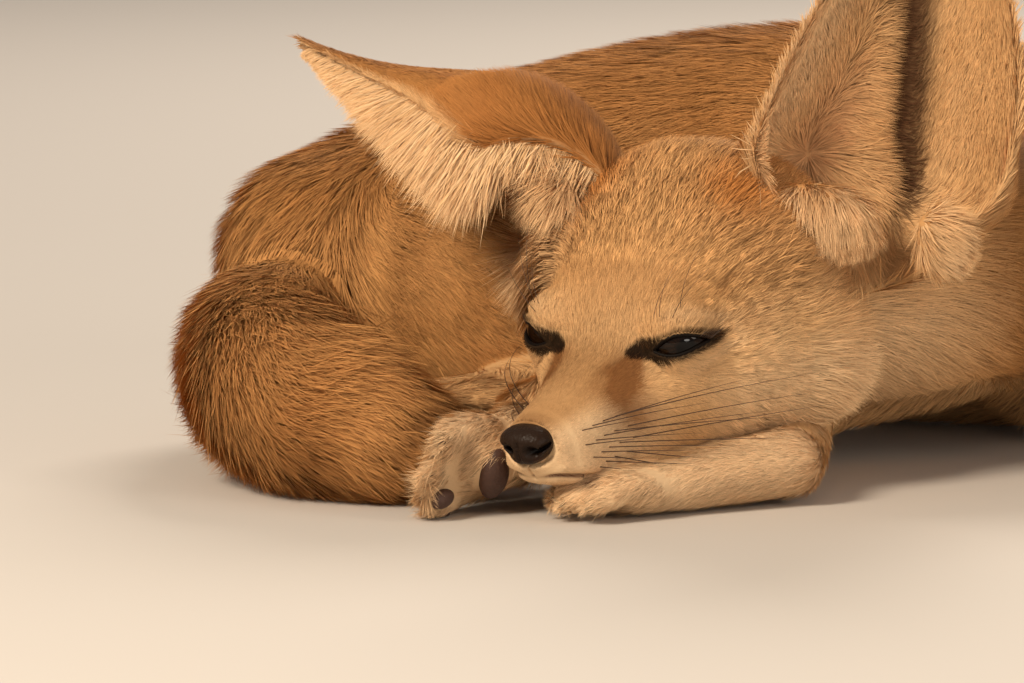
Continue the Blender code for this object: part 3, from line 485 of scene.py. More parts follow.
def ear_shell(name, rows=52, columns=44):
    """The ear as one closed shell: points, faces, share up it, swing across it, and 1 for the inner face."""
    ear = ear_frame(name)
    share = np.linspace(-0.17, 0.998, rows)
    swing = np.sin(np.linspace(-1, 1, columns) * math.pi / 2 * 0.94) / math.sin(math.pi / 2 * 0.94) * 0.985
    share, swing = np.meshgrid(share, swing, indexing="ij")
    share = share + EAR_FOOT_TRIM * np.abs(swing) * (1 - share) / (1 - EAR_SECTIONS[0][0])
    wall = EAR_WALL * (1 - 0.55 * np.clip(share, 0, 1) ** 2)
    edge = np.sqrt(np.clip(1 - np.abs(swing) ** 6, 0.05, 1))
    middle = 0.5 * wall
    thick = (0.5 * wall - 0.35) * edge
    outer = ear_sheet(ear, share, swing, middle - thick)
    inner = ear_sheet(ear, share, swing * 0.99, middle + thick)
    count = rows * columns
    points = np.concatenate([outer.reshape(-1, 3), inner.reshape(-1, 3)])
    i, j = np.meshgrid(np.arange(rows - 1), np.arange(columns - 1), indexing="ij")
    a, b, c, d = i * columns + j, i * columns + j + 1, (i + 1) * columns + j + 1, (i + 1) * columns + j
    front = np.concatenate([np.stack([a, b, c], -1).reshape(-1, 3), np.stack([a, c, d], -1).reshape(-1, 3)])
    rim = np.concatenate([
        np.arange(columns), np.arange(1, rows) * columns + columns - 1,
        (rows - 1) * columns + np.arange(columns - 2, -1, -1), np.arange(rows - 2, 0, -1) * columns,
    ])
    after = np.roll(rim, -1)
    edge_faces = np.concatenate([
        np.stack([after, rim, rim + count], -1), np.stack([after, rim + count, after + count], -1)
    ])
    faces = np.concatenate([front, front[:, ::-1] + count, edge_faces])
    if EARS[name][3] > 0:
        faces = faces[:, ::-1]
    facing = normals_of(points, faces)[:count].reshape(rows, columns, 3)[rows // 2, columns // 2]
    if np.dot(facing, ear[2]) > 0:
        faces = faces[:, ::-1]
    face_side = np.concatenate([np.zeros(count), np.ones(count)])
    return points, faces, np.tile(share.ravel(), 2), np.tile(swing.ravel(), 2), face_side


def paw_pieces(name, inset=1):
    """Closed tubes of one foot: palm and toes; and where its claws and pads go."""
    start, end, sole, width, thick, _ = PAWS[name]
    start, end = np.asarray(start, float), np.asarray(end, float)
    heading = unit(end - start)
    reach = np.linalg.norm(end - start)
    under = unit(np.asarray(sole, float) - heading * np.dot(sole, heading))
    across = np.cross(heading, under)
    knuckle = start + heading * (reach - 17) - under * 0.5
    palm = [
        (*start, width * 0.40, thick, thick),
        (*(start + (knuckle - start) * 0.5), width * 0.42, thick * 0.85, thick * 0.95),
        (*knuckle, width * 0.46, thick * 0.78, thick * 0.85),
    ]
    pieces = [("palm", palm)]
    claws, pads = [], []
    for toe in range(4):
        place = toe - 1.5
        middle = 1 if abs(place) < 1 else 0
        root = knuckle + across * place * width * 0.20 - heading * 4
        tip = knuckle + across * place * width * 0.27 + heading * (12 + 3.5 * middle) + under * 1
        knee = (root + tip) / 2 - under * 2.2
        size = width * 0.185
        pieces.append(("toe", [
            (*root, size, size, size), (*knee, size * 1.05, size * 1.1, size * 1.1),
            (*tip, size * 0.85, size * 0.85, size * 0.85),
        ]))
        claws.append((tip + heading * size * 0.45 - under * 0.6, heading, under, across))
        pads.append((tip + under * size * 0.62 - heading * 1, heading, across, under, (3.3, 2.2, 1.9)))
    pads.append((knuckle + under * thick * 0.62 + heading, heading, across, under, (3.9, width * 0.27, 2.9)))
    return pieces, claws, pads


# Meshes
def moved():
    """Step from the drawing frame to the row frame, told by where one eye of the solids is."""
    low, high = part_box("eye_left")
    return (np.array(low) + np.array(high)) / 2 - from_head(eye_seat(1)) * MM


SHIFT = moved()
LOWEST = 0.2


def mesh_piece(name, points, faces, material, slot, colours=None, uv=None, facing=None, stands_for=()):
    """An object from arrays of points (mm) and triangles, with a colour for each point and a corner UV map.
    It rides on the one body, has a material slot, and may stand for nodes of the solids; its slot argument is
    not used."""
    mesh = bpy.data.meshes.new(name)
    faces = np.ascontiguousarray(faces, np.int32)
    mesh.vertices.add(len(points))
    points = np.array(points, float)
    points[:, 2] = np.maximum(points[:, 2], LOWEST)
    mesh.vertices.foreach_set("co", (points * MM + SHIFT).astype(np.float32).ravel())
    mesh.loops.add(faces.size)
    mesh.loops.foreach_set("vertex_index", faces.ravel())
    mesh.polygons.add(len(faces))
    mesh.polygons.foreach_set("loop_start", np.arange(0, faces.size, 3, dtype=np.int32))
    mesh.polygons.foreach_set("use_smooth", np.full(len(faces), True))
    mesh.update(calc_edges=True)
    if colours is not None:
        layer = mesh.color_attributes.new("coat", "FLOAT_COLOR", "POINT")
        rgba = np.ones((len(points), 4), np.float32)
        rgba[:, :3] = np.clip(colours, 0, 1)
        layer.data.foreach_set("color", rgba.ravel())
    if uv is not None:
        layer = mesh.uv_layers.new(name="OFBake")
        layer.data.foreach_set("uv", np.asarray(uv, np.float32)[faces.ravel()].ravel())
    mesh.validate()
    if facing is not None:
        mesh.normals_split_custom_set_from_vertices(facing.astype(np.float32))
    mesh.materials.append(material)
    made = bpy.data.objects.new(name, mesh)
    bpy.context.scene.collection.objects.link(made)
    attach(made, "root")
    if stands_for:
        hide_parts(*stands_for)


# Materials
class Shader:
    """A material's node tree."""

    def __init__(self, name):
        self.material = bpy.data.materials.new(name)
        self.material.use_nodes = True
        self.tree = self.material.node_tree
        self.main = self.tree.nodes["Principled BSDF"]

    def feed(self, socket, value):
        if isinstance(value, bpy.types.NodeSocket):
            self.tree.links.new(value, socket)
        else:
            socket.default_value = value

    def node(self, kind, inputs=None, output=0, **settings):
        """One node of any kind: its settings, its inputs by name, and which output is wanted."""
        node = self.tree.nodes.new(kind)
        for key, value in settings.items():
            setattr(node, key, value)
        for key, value in (inputs or {}).items():
            self.feed(node.inputs[key], value)
        return node.outputs[output]

    def set(self, **values):
        for key, value in values.items():
            self.feed(self.main.inputs[key.replace("_", " ")], value)


def material(name, colour, roughness, specular=0.5, pattern=None):
    """A material of one colour, or of the mesh's own where none is given, with a fine bump of a pattern:
    the kind of texture, its settings, and the bump's strength and height in metres."""
    shader = Shader(name)
    if colour is None:
        base = shader.node("ShaderNodeAttribute", attribute_name="coat")
    else:
        base = (*colour, 1)
    shader.set(Base_Color=base, Roughness=roughness, Specular_IOR_Level=specular)
    if pattern:
        kind, inputs, strength, distance = pattern
        height = shader.node(kind, {"Vector": shader.node("ShaderNodeTexCoord", output=3), **inputs})
        bump = {"Height": height, "Strength": strength, "Distance": distance}
        shader.set(Normal=shader.node("ShaderNodeBump", bump))
    return shader.material


GRAIN = ("ShaderNodeTexNoise", {"Scale": 1900, "Detail": 3}, 0.35, 0.0004)
NOSE_CELLS = ("ShaderNodeTexVoronoi", {"Scale": 1700}, 0.30, 0.0003)
PAD_CELLS = ("ShaderNodeTexVoronoi", {"Scale": 1500}, 0.30, 0.0003)
SKIN = material("skin", None, 0.8, 0.06, GRAIN)
HAIR = material("fur", None, 0.62, 0.04)
WHISKER = material("whisker", (0.05, 0.022, 0.010), 0.4)
LID = material("lid_rim", (0.005, 0.003, 0.002), 0.55, 0.08)
CLAW = material("claw", (0.06, 0.035, 0.02), 0.3)
PAD = material("paw_pad", (0.055, 0.022, 0.013), 0.65, 0.5, PAD_CELLS)
NOSE = material("nose_leather", None, 0.40, 0.12, NOSE_CELLS)
EYE = material("wet_eye", None, 0.03, 0.2)


# Body: lie, depth and length of the coat
# track: stations, coat depth, hair length, hair width, hairs per square mm, downward pull
TRACKS = {
    "neck": (NECK, 4.5, 15, 0.32, 4.4, 0.45),
    "torso": (TORSO, 5, 12.5, 0.38, 2.3, 0.35),
    "thigh_right": (THIGH_RIGHT, 4.5, 13, 0.33, 5, 0.5),
    "thigh_left": (THIGH_LEFT, 4.5, 12, 0.40, 2, 0.5),
    "shank_right": (SHANK_RIGHT, 2.2, 7.5, 0.30, 4.5, 0.2),
    "shank_left": (SHANK_LEFT, 2.2, 8, 0.38, 2.2, 0.2),
    "upper_arm_left": (UPPER_ARM_LEFT, 3, 9, 0.34, 3.8, 0.3),
    "upper_arm_right": (UPPER_ARM_RIGHT, 3, 9, 0.40, 2, 0.3),
    "forearm_left": (FOREARM_LEFT, 1.6, 7.5, 0.25, 8, 0.25),
    "forearm_right": (FOREARM_RIGHT, 1.6, 8, 0.25, 7, 0.1),
    "tail": (TAIL, 0, 26, 0.34, 6.8, 0),
}
for paw in PAWS:
    palm = paw_pieces(paw)[0][0][1]
    palm = palm + [(*PAWS[paw][1], PAWS[paw][3] * 0.5, PAWS[paw][4] * 0.7, PAWS[paw][4] * 0.7)]
    shown = paw != "foot_left"
    long_ = {"paw_right": 7, "paw_left": 5.2}.get(paw, 4.6)
    TRACKS[paw] = (palm, 1.3, long_, 0.24 if shown else 0.5, 8.5 if shown else 1.8, 0.15)
TRACK_NAMES = list(TRACKS)
TAIL_CORE = 0.60


def track_table():
    """Samples of every track's centre line: places, tangents, sides, uprights, radii, shares, tracks."""
    rows = []
    for number, name in enumerate(TRACK_NAMES):
        shares = np.linspace(0, 1, 36)
        centre, tangent, side, above, radii = along(TRACKS[name][0], shares)
        rows.append((centre, tangent, side, above, radii, shares, np.full(36, number)))
    return [np.concatenate(column) for column in zip(*rows)]


TABLE = track_table()


def track_fit(points, chunk=8000):
    """For each point: nearness to every track, blended lie of the coat, and place on the nearest track."""
    centre, tangent, side, above, radii, shares, number = TABLE
    nearness = np.zeros((len(points), len(TRACK_NAMES)))
    lie = np.zeros((len(points), 3))
    share, turn, main = np.zeros(len(points)), np.zeros(len(points)), np.zeros(len(points), int)
    for start in range(0, len(points), chunk):
        p = points[start : start + chunk]
        offset = p[:, None] - centre[None]
        x = np.einsum("ijk,jk->ij", offset, side) / radii[None, :, 0]
        y = np.einsum("ijk,jk->ij", offset, above)
        y = y / np.where(y > 0, radii[None, :, 1], radii[None, :, 2])
        z = np.einsum("ijk,jk->ij", offset, tangent) / radii.mean(axis=1)[None]
        far = np.sqrt(x * x + y * y + z * z)
        weight = np.exp(-7 * (far - far.min(axis=1, keepdims=True)))
        lie[start : start + chunk] = weight @ tangent
        for k in range(len(TRACK_NAMES)):
            nearness[start : start + chunk, k] = far[:, number == k].min(axis=1)
        best = far.argmin(axis=1)
        rows = np.arange(len(p))
        share[start : start + chunk] = shares[best]
        turn[start : start + chunk] = np.arctan2(y[rows, best], x[rows, best])
        main[start : start + chunk] = number[best]
    return nearness, unit(lie), share, turn, main


def track_values(nearness, column):
    """A track setting, blended between tracks where they meet."""
    weight = np.exp(-14 * (nearness - nearness.min(axis=1, keepdims=True)))
    values = np.array([TRACKS[name][column] for name in TRACK_NAMES])
    return weight @ values / weight.sum(axis=1)


def head_nearness(points):
    """1 on the head's form, falling to 0 about a head's half-width away from it."""
    back, left, up = to_head(points).T
    at = np.clip(back, 6, 90)
    half_width, top, bottom, level = smooth(HEAD_SECTIONS, at).T
    high = np.where(up > level, top - level, level - bottom)
    far = np.sqrt((left / half_width) ** 2 + ((up - level) / high) ** 2 + ((back - at) / 40) ** 2)
    return ramp(1.9, 1, far)


def body_colour(points, nearness, share, main):
    """Markings of trunk, legs and tail at points in mm, with painted shade on the far side of the neck."""
    names = np.array(TRACK_NAMES)[main]
    blotch = waves(points, 26, 5) * 0.5 + 0.5
    high = points[:, 2]
    trunk = np.isin(names, ["neck", "torso"])
    # painted shade: the far side of the neck, high up, is coloured dark rusty brown
    painted_neck_shade = trunk * ramp(86, 112, points[:, 0]) * ramp(10, 50, high)
    near_neck = (names == "neck") * ramp(108, 84, points[:, 0])
    colour = layered(
        mix(SAND, GOLD, 0.35 + 0.5 * blotch),
        (RUST, 0.35 * ramp(52, 88, high)),
        (mix(RUST, BROWN, 0.5), 0.50 * painted_neck_shade),
        (mix(CREAM, SAND, 0.55), 0.7 * near_neck),
        (CREAM, 0.45 * ramp(30, 6, high)),
    )
    leg = np.isin(names, [n for n in TRACK_NAMES if n.startswith(("fore", "paw", "foot", "shank"))])
    colour = layered(
        np.where(leg[:, None], mix(CREAM, SAND, 0.25 + 0.3 * blotch), colour),
        (mix(CREAM, SAND, 0.4), np.char.startswith(names, "upper_arm_left") * ramp(34, 18, high)),
        (mix(RUST, BROWN, 0.3), 0.75 * ((names == "foot_right") * ramp(0.95, 0.35, share))),
        (head_colour(points), 0.9 * (trunk * head_nearness(points))),
    )
    paw = np.isin(names, [n for n in TRACK_NAMES if n.startswith("paw")])
    colour = np.where(paw[:, None], mix(PALE, SAND, 0.15 * blotch), colour)
    towards_tip = share + 0.03 * waves(points, 9, 8)
    tail_colour = layered(
        mix(mix(GOLD, SAND, 0.45), RUST, 0.22 * blotch),
        (BROWN, 0.9 * ramp(0.78, 0.88, towards_tip)),
        (DARK, ramp(0.84, 0.95, towards_tip)),
    )
    return np.where((names == "tail")[:, None], tail_colour, colour)


def head_colour(points):
    """Markings of the head at points in mm: pale cheeks and muzzle, rusty tear streak, dark slit, and brown
    under the jaw that is partly dark hair tips and partly painted shade.
    """
    back, left, up = to_head(points).T
    side = np.where(left < 0, -1, 1)
    beside = np.abs(left)

    def patch(at_back, at_beside, at_up, long_, wide, high, power=1):
        far = ((back - at_back) / long_) ** 2 + ((beside - at_beside) / wide) ** 2
        return np.exp(-((far + ((up - at_up) / high) ** 2) ** power))

    bridge = ramp(9.5, 5, beside) * ramp(1, 4.5, up) * ramp(44, 26, back)
    streak = 0.9 * patch(26, 8.6, 4.4, 6.4, 5.4, 6, 1.2) + 0.8 * patch(31.5, 9, 7.6, 4, 3, 3)
    streak = streak + 0.5 * patch(27.5, 11.8, -2, 5, 4, 3.6)
    streak = np.clip(streak * (1 + 0.35 * waves(points, 4.5, 23)), 0, 1) * ramp(3, 6, beside)
    # brown under the jaw: partly dark hair tips, partly painted shade that falls behind the jaw
    jaw_shade_and_dark_tips = patch(37, 13, -14, 9, 6.5, 3.2) + 0.7 * patch(51, 20, -13.5, 7, 7, 3)
    gap = up - np.interp(back, *np.array(MOUTH_LINE).T)
    lips = ramp(3.6, 5, back) * ramp(31, 26, back)
    colour = layered(
        mix(CREAM, SAND, 0.25 + 0.2 * waves(points, 14, 11)),
        (mix(SAND, GOLD, 0.35), 0.65 * ramp(34, 46, back) * ramp(11, 19, up)),
        (GOLD, 0.40 * ramp(58, 84, back) * ramp(8, 28, up)),
        (PALE, 0.85 * ramp(36, 20, back) * ramp(5.5, 0.5, up)),
        (mix(SAND, BROWN, 0.45), 0.65 * bridge),
        (mix(SAND, BROWN, 0.8), 0.6 * patch(5, 0, 4, 3.5, 5, 2.5)),
        (PALE, 0.6 * ramp(36, 50, back) * ramp(9, -2, up)),
        (mix(RUST, BROWN, 0.6), 0.92 * np.clip(1.35 * streak, 0, 1)),
        (RUST, 0.35 * patch(53, 23, 11.5, 5, 6, 2.5)),
        (FOX_RED, 0.85 * patch(66, 15, 33, 6.5, 7, 9)),
        (BROWN, 0.8 * jaw_shade_and_dark_tips * ramp(-0.5, 0.5, waves(points, 7, 24))),
        (PALE, 0.8 * lips * bell(gap, -1.3, 0.9)),
        (LIP, lips * bell(gap, 0, 0.42)),
    )
    # dark skin and fur round the slit, longest at its inner corner, with a pale edge
    for s in (1, -1):
        out, a, b = by_eye(np.stack([back, left, up], -1), s)
        inside = within(SURROUND, a, b)
        colour = layered(
            colour,
            (DARK, 0.97 * (ramp(-0.6, 0.1, inside) * ramp(-3, 0, out) * (side == s))),
            (PALE, 0.30 * (bell(inside, -2.6, 1.3) * ramp(0, 3, out) * (side == s)) * ramp(-6, 0, a)),
        )
    speck = ramp(0, 0.6, waves(points, 5, 21)) * patch(57, 20, 20, 10, 8, 7.5)
    return mix(colour, BROWN, 0.75 * speck)


def ear_hollow(share, swing):
    """1 in the deep hollow that runs up the ear beside the combed band, widening towards the tip; it is
    coloured with painted shade.
    """
    middle, half = -0.12 + 0.5 * share, 0.075 + 0.24 * share
    return np.exp(-(((swing - middle) / half) ** 4)) * ramp(0.03, 0.12, share) * ramp(0.95, 0.6, share)


def ear_colour(points, share, swing, inner):
    """Markings of an ear: tan and cream inside round a hollow of painted shade, sandy back that is rusty at
    its foot.
    """
    skin_shows = bell(swing, 0.33, 0.08) * ramp(0.04, 0.12, share) * ramp(0.45, 0.2, share)
    pocket = np.exp(-(((swing + 0.82) / 0.09) ** 2) - ((share - 0.17) / 0.07) ** 2)
    inside = layered(
        mix(CREAM, SAND, 0.30 + 0.20 * waves(points, 12, 31)),
        (PALE, 0.5 * ramp(0.35, 0.6, swing)),
        (GOLD, 0.20 * ramp(-0.2, -0.5, swing) * ramp(-0.95, -0.6, swing)),
        (EAR_SKIN, 0.4 * skin_shows),
        # painted shade: the deep hollow is coloured near black-brown
        (HOLLOW_SHADE, 0.95 * ear_hollow(share, swing)),
        (POCKET, 0.6 * pocket),
    )
    outside = layered(
        mix(GOLD, RUST, 0.25 + 0.2 * waves(points, 15, 32)),
        (RUST, 0.4 * ramp(0.35, 0, share) * ramp(-0.2, 0.3, swing)),
        (mix(CREAM, SAND, 0.6), 0.8 * ramp(0.3, 0.05, share) * ramp(0.1, -0.4, swing)),
        (CREAM, 0.8 * ramp(0.88, 0.98, np.abs(swing))),
    )
    return np.where((inner > 0.5)[:, None], inside, outside)


# Hair
def scatter(points, faces, density, draw):
    """Roots spread over triangles by density in hairs per square mm: their corners and corner shares."""
    a, b, c = points[faces[:, 0]], points[faces[:, 1]], points[faces[:, 2]]
    area = 0.5 * np.linalg.norm(np.cross(b - a, c - a), axis=1)
    wanted = area * density[faces].mean(axis=1)
    total = np.cumsum(wanted)
    count = int(total[-1])
    at = (np.arange(count) + draw.uniform(0, 1, count)) / count * total[-1]
    pick = np.minimum(np.searchsorted(total, at), len(faces) - 1)
    u, v = draw.uniform(0, 1, count), draw.uniform(0, 1, count)
    flip = u + v > 1
    u, v = np.where(flip, 1 - u, u), np.where(flip, 1 - v, v)
    return faces[pick], np.stack([1 - u - v, u, v], -1)


def at_roots(values, corners, shares):
    values = np.asarray(values)
    if values.ndim == 1:
        return np.sum(values[corners] * shares, axis=1)
    return np.sum(values[corners] * shares[..., None], axis=1)


def clump(roots, tips, size, draw):
    """Way from each tip to the tip of the nearest leading hair, and that hair's number."""
    count = max(1, len(roots) // size)
    lead = draw.choice(len(roots), count, replace=False)
    tree = kdtree.KDTree(count)
    for k, index in enumerate(lead):
        tree.insert(Vector(roots[index]), k)
    tree.balance()
    near = np.array([lead[tree.find(Vector(root))[1]] for root in roots])
    return tips[near] - tips, near


BLADES = {
    # places along a blade and its width there, as a share of the widest
    1: ([0, 1], [1, 0]),
    3: ([0, 0.55, 1], [0.9, 0.85, 0]),
    5: ([0, 0.36, 0.72, 1], [0.8, 1, 0.65, 0]),
}


def hairs(name, roots, normals, lie, length, width, lift, colour, uv, slot, faces_each, bend, clump_size,
          clump_pull, shade, sink=0.3, vary=0.09, locks=0.05, stray=0.13, barred=None):
    """One mesh of thin tapered blades. Each rises off the skin at its lift angle and bends back along
    the lie. Its tip is drawn to its clump's leading hair, and its colour varies by hair and by clump."""
    normals = unit(normals)
    lie = unit(lie - normals * np.sum(lie * normals, axis=1, keepdims=True))
    count = len(roots)
    lift, length, width = (np.broadcast_to(np.asarray(v, float), count) for v in (lift, length, width))
    if barred is not None:
        reach = lie * (np.cos(lift) * length)[:, None] + normals * (0.5 * np.sin(lift) * length)[:, None]
        length = np.where(barred(roots + 0.5 * reach), 0.4, np.where(barred(roots + reach), 0.62, 1)) * length
        keep = np.flatnonzero(~(barred(roots) | (barred(roots + 0.2 * reach))))
        roots, normals, lie, colour, uv = (v[keep] for v in (roots, normals, lie, colour, uv))
        lift, length, width = lift[keep], length[keep], width[keep]
        count = len(roots)
    lie = unit(lie + np.cross(lie, normals) * draw.normal(0, stray, count)[:, None])
    lift = lift * draw.uniform(0.75, 1.25, count)
    length = length * draw.uniform(0.78, 1.15, count)
    width = width * draw.uniform(0.8, 1.2, count)
    start_way = lie * np.cos(lift)[:, None] + normals * np.sin(lift)[:, None]
    sag = normals * (np.sin(lift) * bend)[:, None]
    sag = sag + np.cross(lie, normals) * (0.10 * draw.normal(0, 1, count))[:, None]

    def place(s):
        return roots - normals * sink + (start_way * s - sag * s * s) * length[:, None]

    tips = place(1)
    pull, leader = clump(roots, tips, clump_size, draw)
    pull = pull * clump_pull
    stops, widths = BLADES[faces_each]
    # painted shade along each blade: darkest at the root, where the coat shades it, and a little lighter than
    # its own colour at the tip
    shades = np.interp(stops, [0, 0.4, 1], [shade, 0.88, 1.06])
    roll = draw.normal(0, 0.35, count)
    rows, colours, uvs, facing = [], [], [], []
    colour = colour * (draw.normal(1, vary, count) * draw.normal(1, locks, count)[leader])[:, None]
    for s, wide, tone in zip(stops, widths, shades):
        centre = place(s) + pull * s**1.4
        centre[:, 2] = np.maximum(centre[:, 2], 0.25 + 0.3 * s)
        heading = unit(place(min(1, s + 0.05)) - place(max(0, s - 0.05)))
        across = unit(np.cross(heading, normals))
        across = across * np.cos(roll)[:, None] + np.cross(heading, across) * np.sin(roll)[:, None]
        face = np.cross(across, heading)
        face = face * np.sign(np.sum(face * normals, axis=1, keepdims=True))
        soft = unit(0.6 * normals + 0.4 * face)
        for half in ((-0.5, 0.5) if wide else (0,)):
            rows.append(centre + across * (width * wide * half)[:, None])
            colours.append(colour * tone)
            uvs.append(uv + [[0.0026 * half, 0.0026 * s]])
            facing.append(soft)
    per = len(rows)
    points, colours, facing = (np.stack(v, axis=1).reshape(-1, 3) for v in (rows, colours, facing))
    uvs = np.clip(np.stack(uvs, axis=1).reshape(-1, 2), 0, 1)
    pattern = []
    for k in range(0, per - 3, 2):
        pattern += [(k, k + 1, k + 3), (k, k + 3, k + 2)]
    pattern.append((per - 3, per - 2, per - 1))
    faces = ((np.arange(count) * per)[:, None, None] + np.array(pattern)[None]).reshape(-1, 3)
    way = np.cross(points[faces[0, 1]] - points[faces[0, 0]], points[faces[0, 2]] - points[faces[0, 0]])
    if np.dot(way, facing[faces[0, 0]]) < 0:
        faces = faces[:, ::-1]
    mesh_piece(name, points, faces, HAIR, slot, colours, uvs, facing)


# The skin
def remeshed(points, faces, voxel):
    """One closed surface round many closed ones, by a voxel remesh."""
    mesh = bpy.data.meshes.new("rough")
    mesh.from_pydata((points * MM).tolist(), [], faces.tolist())
    rough = bpy.data.objects.new("rough", mesh)
    bpy.context.scene.collection.objects.link(rough)
    modifier = rough.modifiers.new("remesh", "REMESH")
    modifier.mode = "VOXEL"
    modifier.voxel_size = voxel * MM
    graph = bpy.context.evaluated_depsgraph_get()
    made = rough.evaluated_get(graph).to_mesh()
    made.calc_loop_triangles()
    points = np.zeros(len(made.vertices) * 3)
    made.vertices.foreach_get("co", points)
    faces = np.zeros(len(made.loop_triangles) * 3, np.int32)
    made.loop_triangles.foreach_get("vertices", faces)
    edges = np.zeros(len(made.edges) * 2, np.int32)
    made.edges.foreach_get("vertices", edges)
    rough.evaluated_get(graph).to_mesh_clear()
    bpy.data.objects.remove(rough)
    bpy.data.meshes.remove(mesh)
    return points.reshape(-1, 3) / MM, faces.reshape(-1, 3), edges.reshape(-1, 2)


def relaxed(points, edges, rounds, strength):
    """Points drawn towards their neighbours' mean, by a strength for each point."""
    count = np.zeros(len(points))
    for k in (0, 1):
        np.add.at(count, edges[:, k], 1)
    for _ in range(rounds):
        total = np.zeros_like(points)
        for axis in range(3):
            total[:, axis] = np.bincount(edges[:, 0], points[edges[:, 1], axis], len(points))
            total[:, axis] += np.bincount(edges[:, 1], points[edges[:, 0], axis], len(points))
        points = points + (total / count[:, None] - points) * strength[:, None]
    return points


VOXEL = 2
PLAIN_HEAD_INSET = 2.5


def body_skin():
    """Trunk, legs, tail core, ear roots and a plain head, joined and softened where they meet."""
    pieces = []
    for name, (stations, inset, *_rest) in TRACKS.items():
        if name in PAWS:
            for kind, tube_stations in paw_pieces(name)[0]:
                inset = 1.2 if kind == "palm" else 0.9
                pieces.append(closed(*tube(tube_stations, inset, 16, 24, thinnest=1.5)))
        elif name == "tail":
            pieces.append(closed(*tube(stations, 0, 60, 32, scale=TAIL_CORE, caps=(0.8, 1))))
        else:
            pieces.append(closed(*tube(stations, inset)))
    pieces.append(head_grid(80, 80, plain=PLAIN_HEAD_INSET)[:2])
    for name in EARS:
        for centre, axes, halves in swellings(name):
            pieces.append(ball(centre, axes, halves))
    points, faces, edges = remeshed(*join(pieces), VOXEL)
    near, *_ = track_fit(points)
    paw = near[:, [TRACK_NAMES.index(n) for n in PAWS]].min(axis=1)
    rest = np.delete(near, [TRACK_NAMES.index(n) for n in PAWS], axis=1).min(axis=1)
    strength = 0.5 * ramp(-0.5, 0.5, paw - rest) + 0.06
    points = relaxed(points, edges, 8, strength)
    points[:, 2] = np.maximum(points[:, 2], 1)
    return points, faces


def inside_head(points, room=0):
    """True where a point lies within the plain head form."""
    back, left, up = to_head(points).T
    half_width, top, bottom, level = smooth(HEAD_SECTIONS, back).T
    inset = head_inset(back) + room
    high = np.where(up > level, top - level, level - bottom) - inset
    share = np.abs(left / np.maximum(half_width - inset, 0.5)) ** HEAD_ROUNDNESS
    share += np.abs((up - level) / np.maximum(high, 0.5)) ** HEAD_ROUNDNESS
    return (share < 1) & (back > 2) & (back < 97)


draw = np.random.default_rng(7)
body_points, body_faces = body_skin()
body_near, body_lie, body_share, body_turn, body_main = track_fit(body_points)
body_normals = normals_of(body_points, body_faces)
if np.sum(body_points * body_normals) < np.sum(body_points.mean(axis=0) * body_normals):
    body_faces = body_faces[:, ::-1]
    body_normals = -body_normals
head_points, head_faces, head_back, head_turn = head_grid(200, 220)
head_normals = normals_of(head_points, head_faces)
if np.sum((head_points - head_points.mean(axis=0)) * head_normals) < 0:
    head_faces = head_faces[:, ::-1]
    head_normals = -head_normals
ear_parts = {name: ear_shell(name) for name in EARS}

# painted shade: the skin is coloured darker than the hair that grows on it, for the shade between the hairs
SKIN_PAINTED_SHADE, EAR_SKIN_PAINTED_SHADE = 0.85, 0.8
in_head = inside_head(body_points, 1)
on_head = inside_head(body_points, -3)
skin_body_colour = body_colour(body_points, body_near, body_share, body_main)
skin_body_colour = np.where(on_head[:, None], head_colour(body_points), skin_body_colour) * SKIN_PAINTED_SHADE
parts = [(body_points, body_faces), (head_points, head_faces)]
colours = [skin_body_colour, head_colour(head_points) * SKIN_PAINTED_SHADE]
for name, (p, f, share, swing, inner) in ear_parts.items():
    parts.append((p, f))
    colours.append(ear_colour(p, share, swing, inner) * EAR_SKIN_PAINTED_SHADE)
flesh = [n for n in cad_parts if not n.startswith(("eye", "nose"))]
mesh_piece("fox_skin", *join(parts), SKIN, "sand", np.concatenate(colours), stands_for=flesh)


# Eyes, lids, nose
def eye_piece(name, node, side):
    """Eyeball with a slight bulge in front: a dark brown iris round a black pupil, by angle from its axis."""
    centre, axes = eye_frame(side)
    world = [axis @ HEAD for axis in axes]
    points, faces = ball(from_head(centre), world, (EYE_RADIUS,) * 3, rings=40, sides=64)
    gaze = unit(world[0] + 0.10 * world[1] - 0.12 * world[2])
    way = unit(points - from_head(centre))
    angle = np.degrees(np.arccos(np.clip(way @ gaze, -1, 1)))
    points = points + way * (0.35 * ramp(42, 20, angle))[:, None]
    streaks = 0.5 + 0.5 * np.sin(np.arctan2(way @ world[1], way @ world[2]) * 47)
    colour = mix(PUPIL, mix(IRIS, IRIS_STREAK, streaks), ramp(15, 19, angle))
    colour = mix(colour, EYE_WHITE, ramp(42, 47, angle))
    mesh_piece(name, points, faces, EYE, "eye", colour, stands_for=[node])


LID_RIM = 0.42


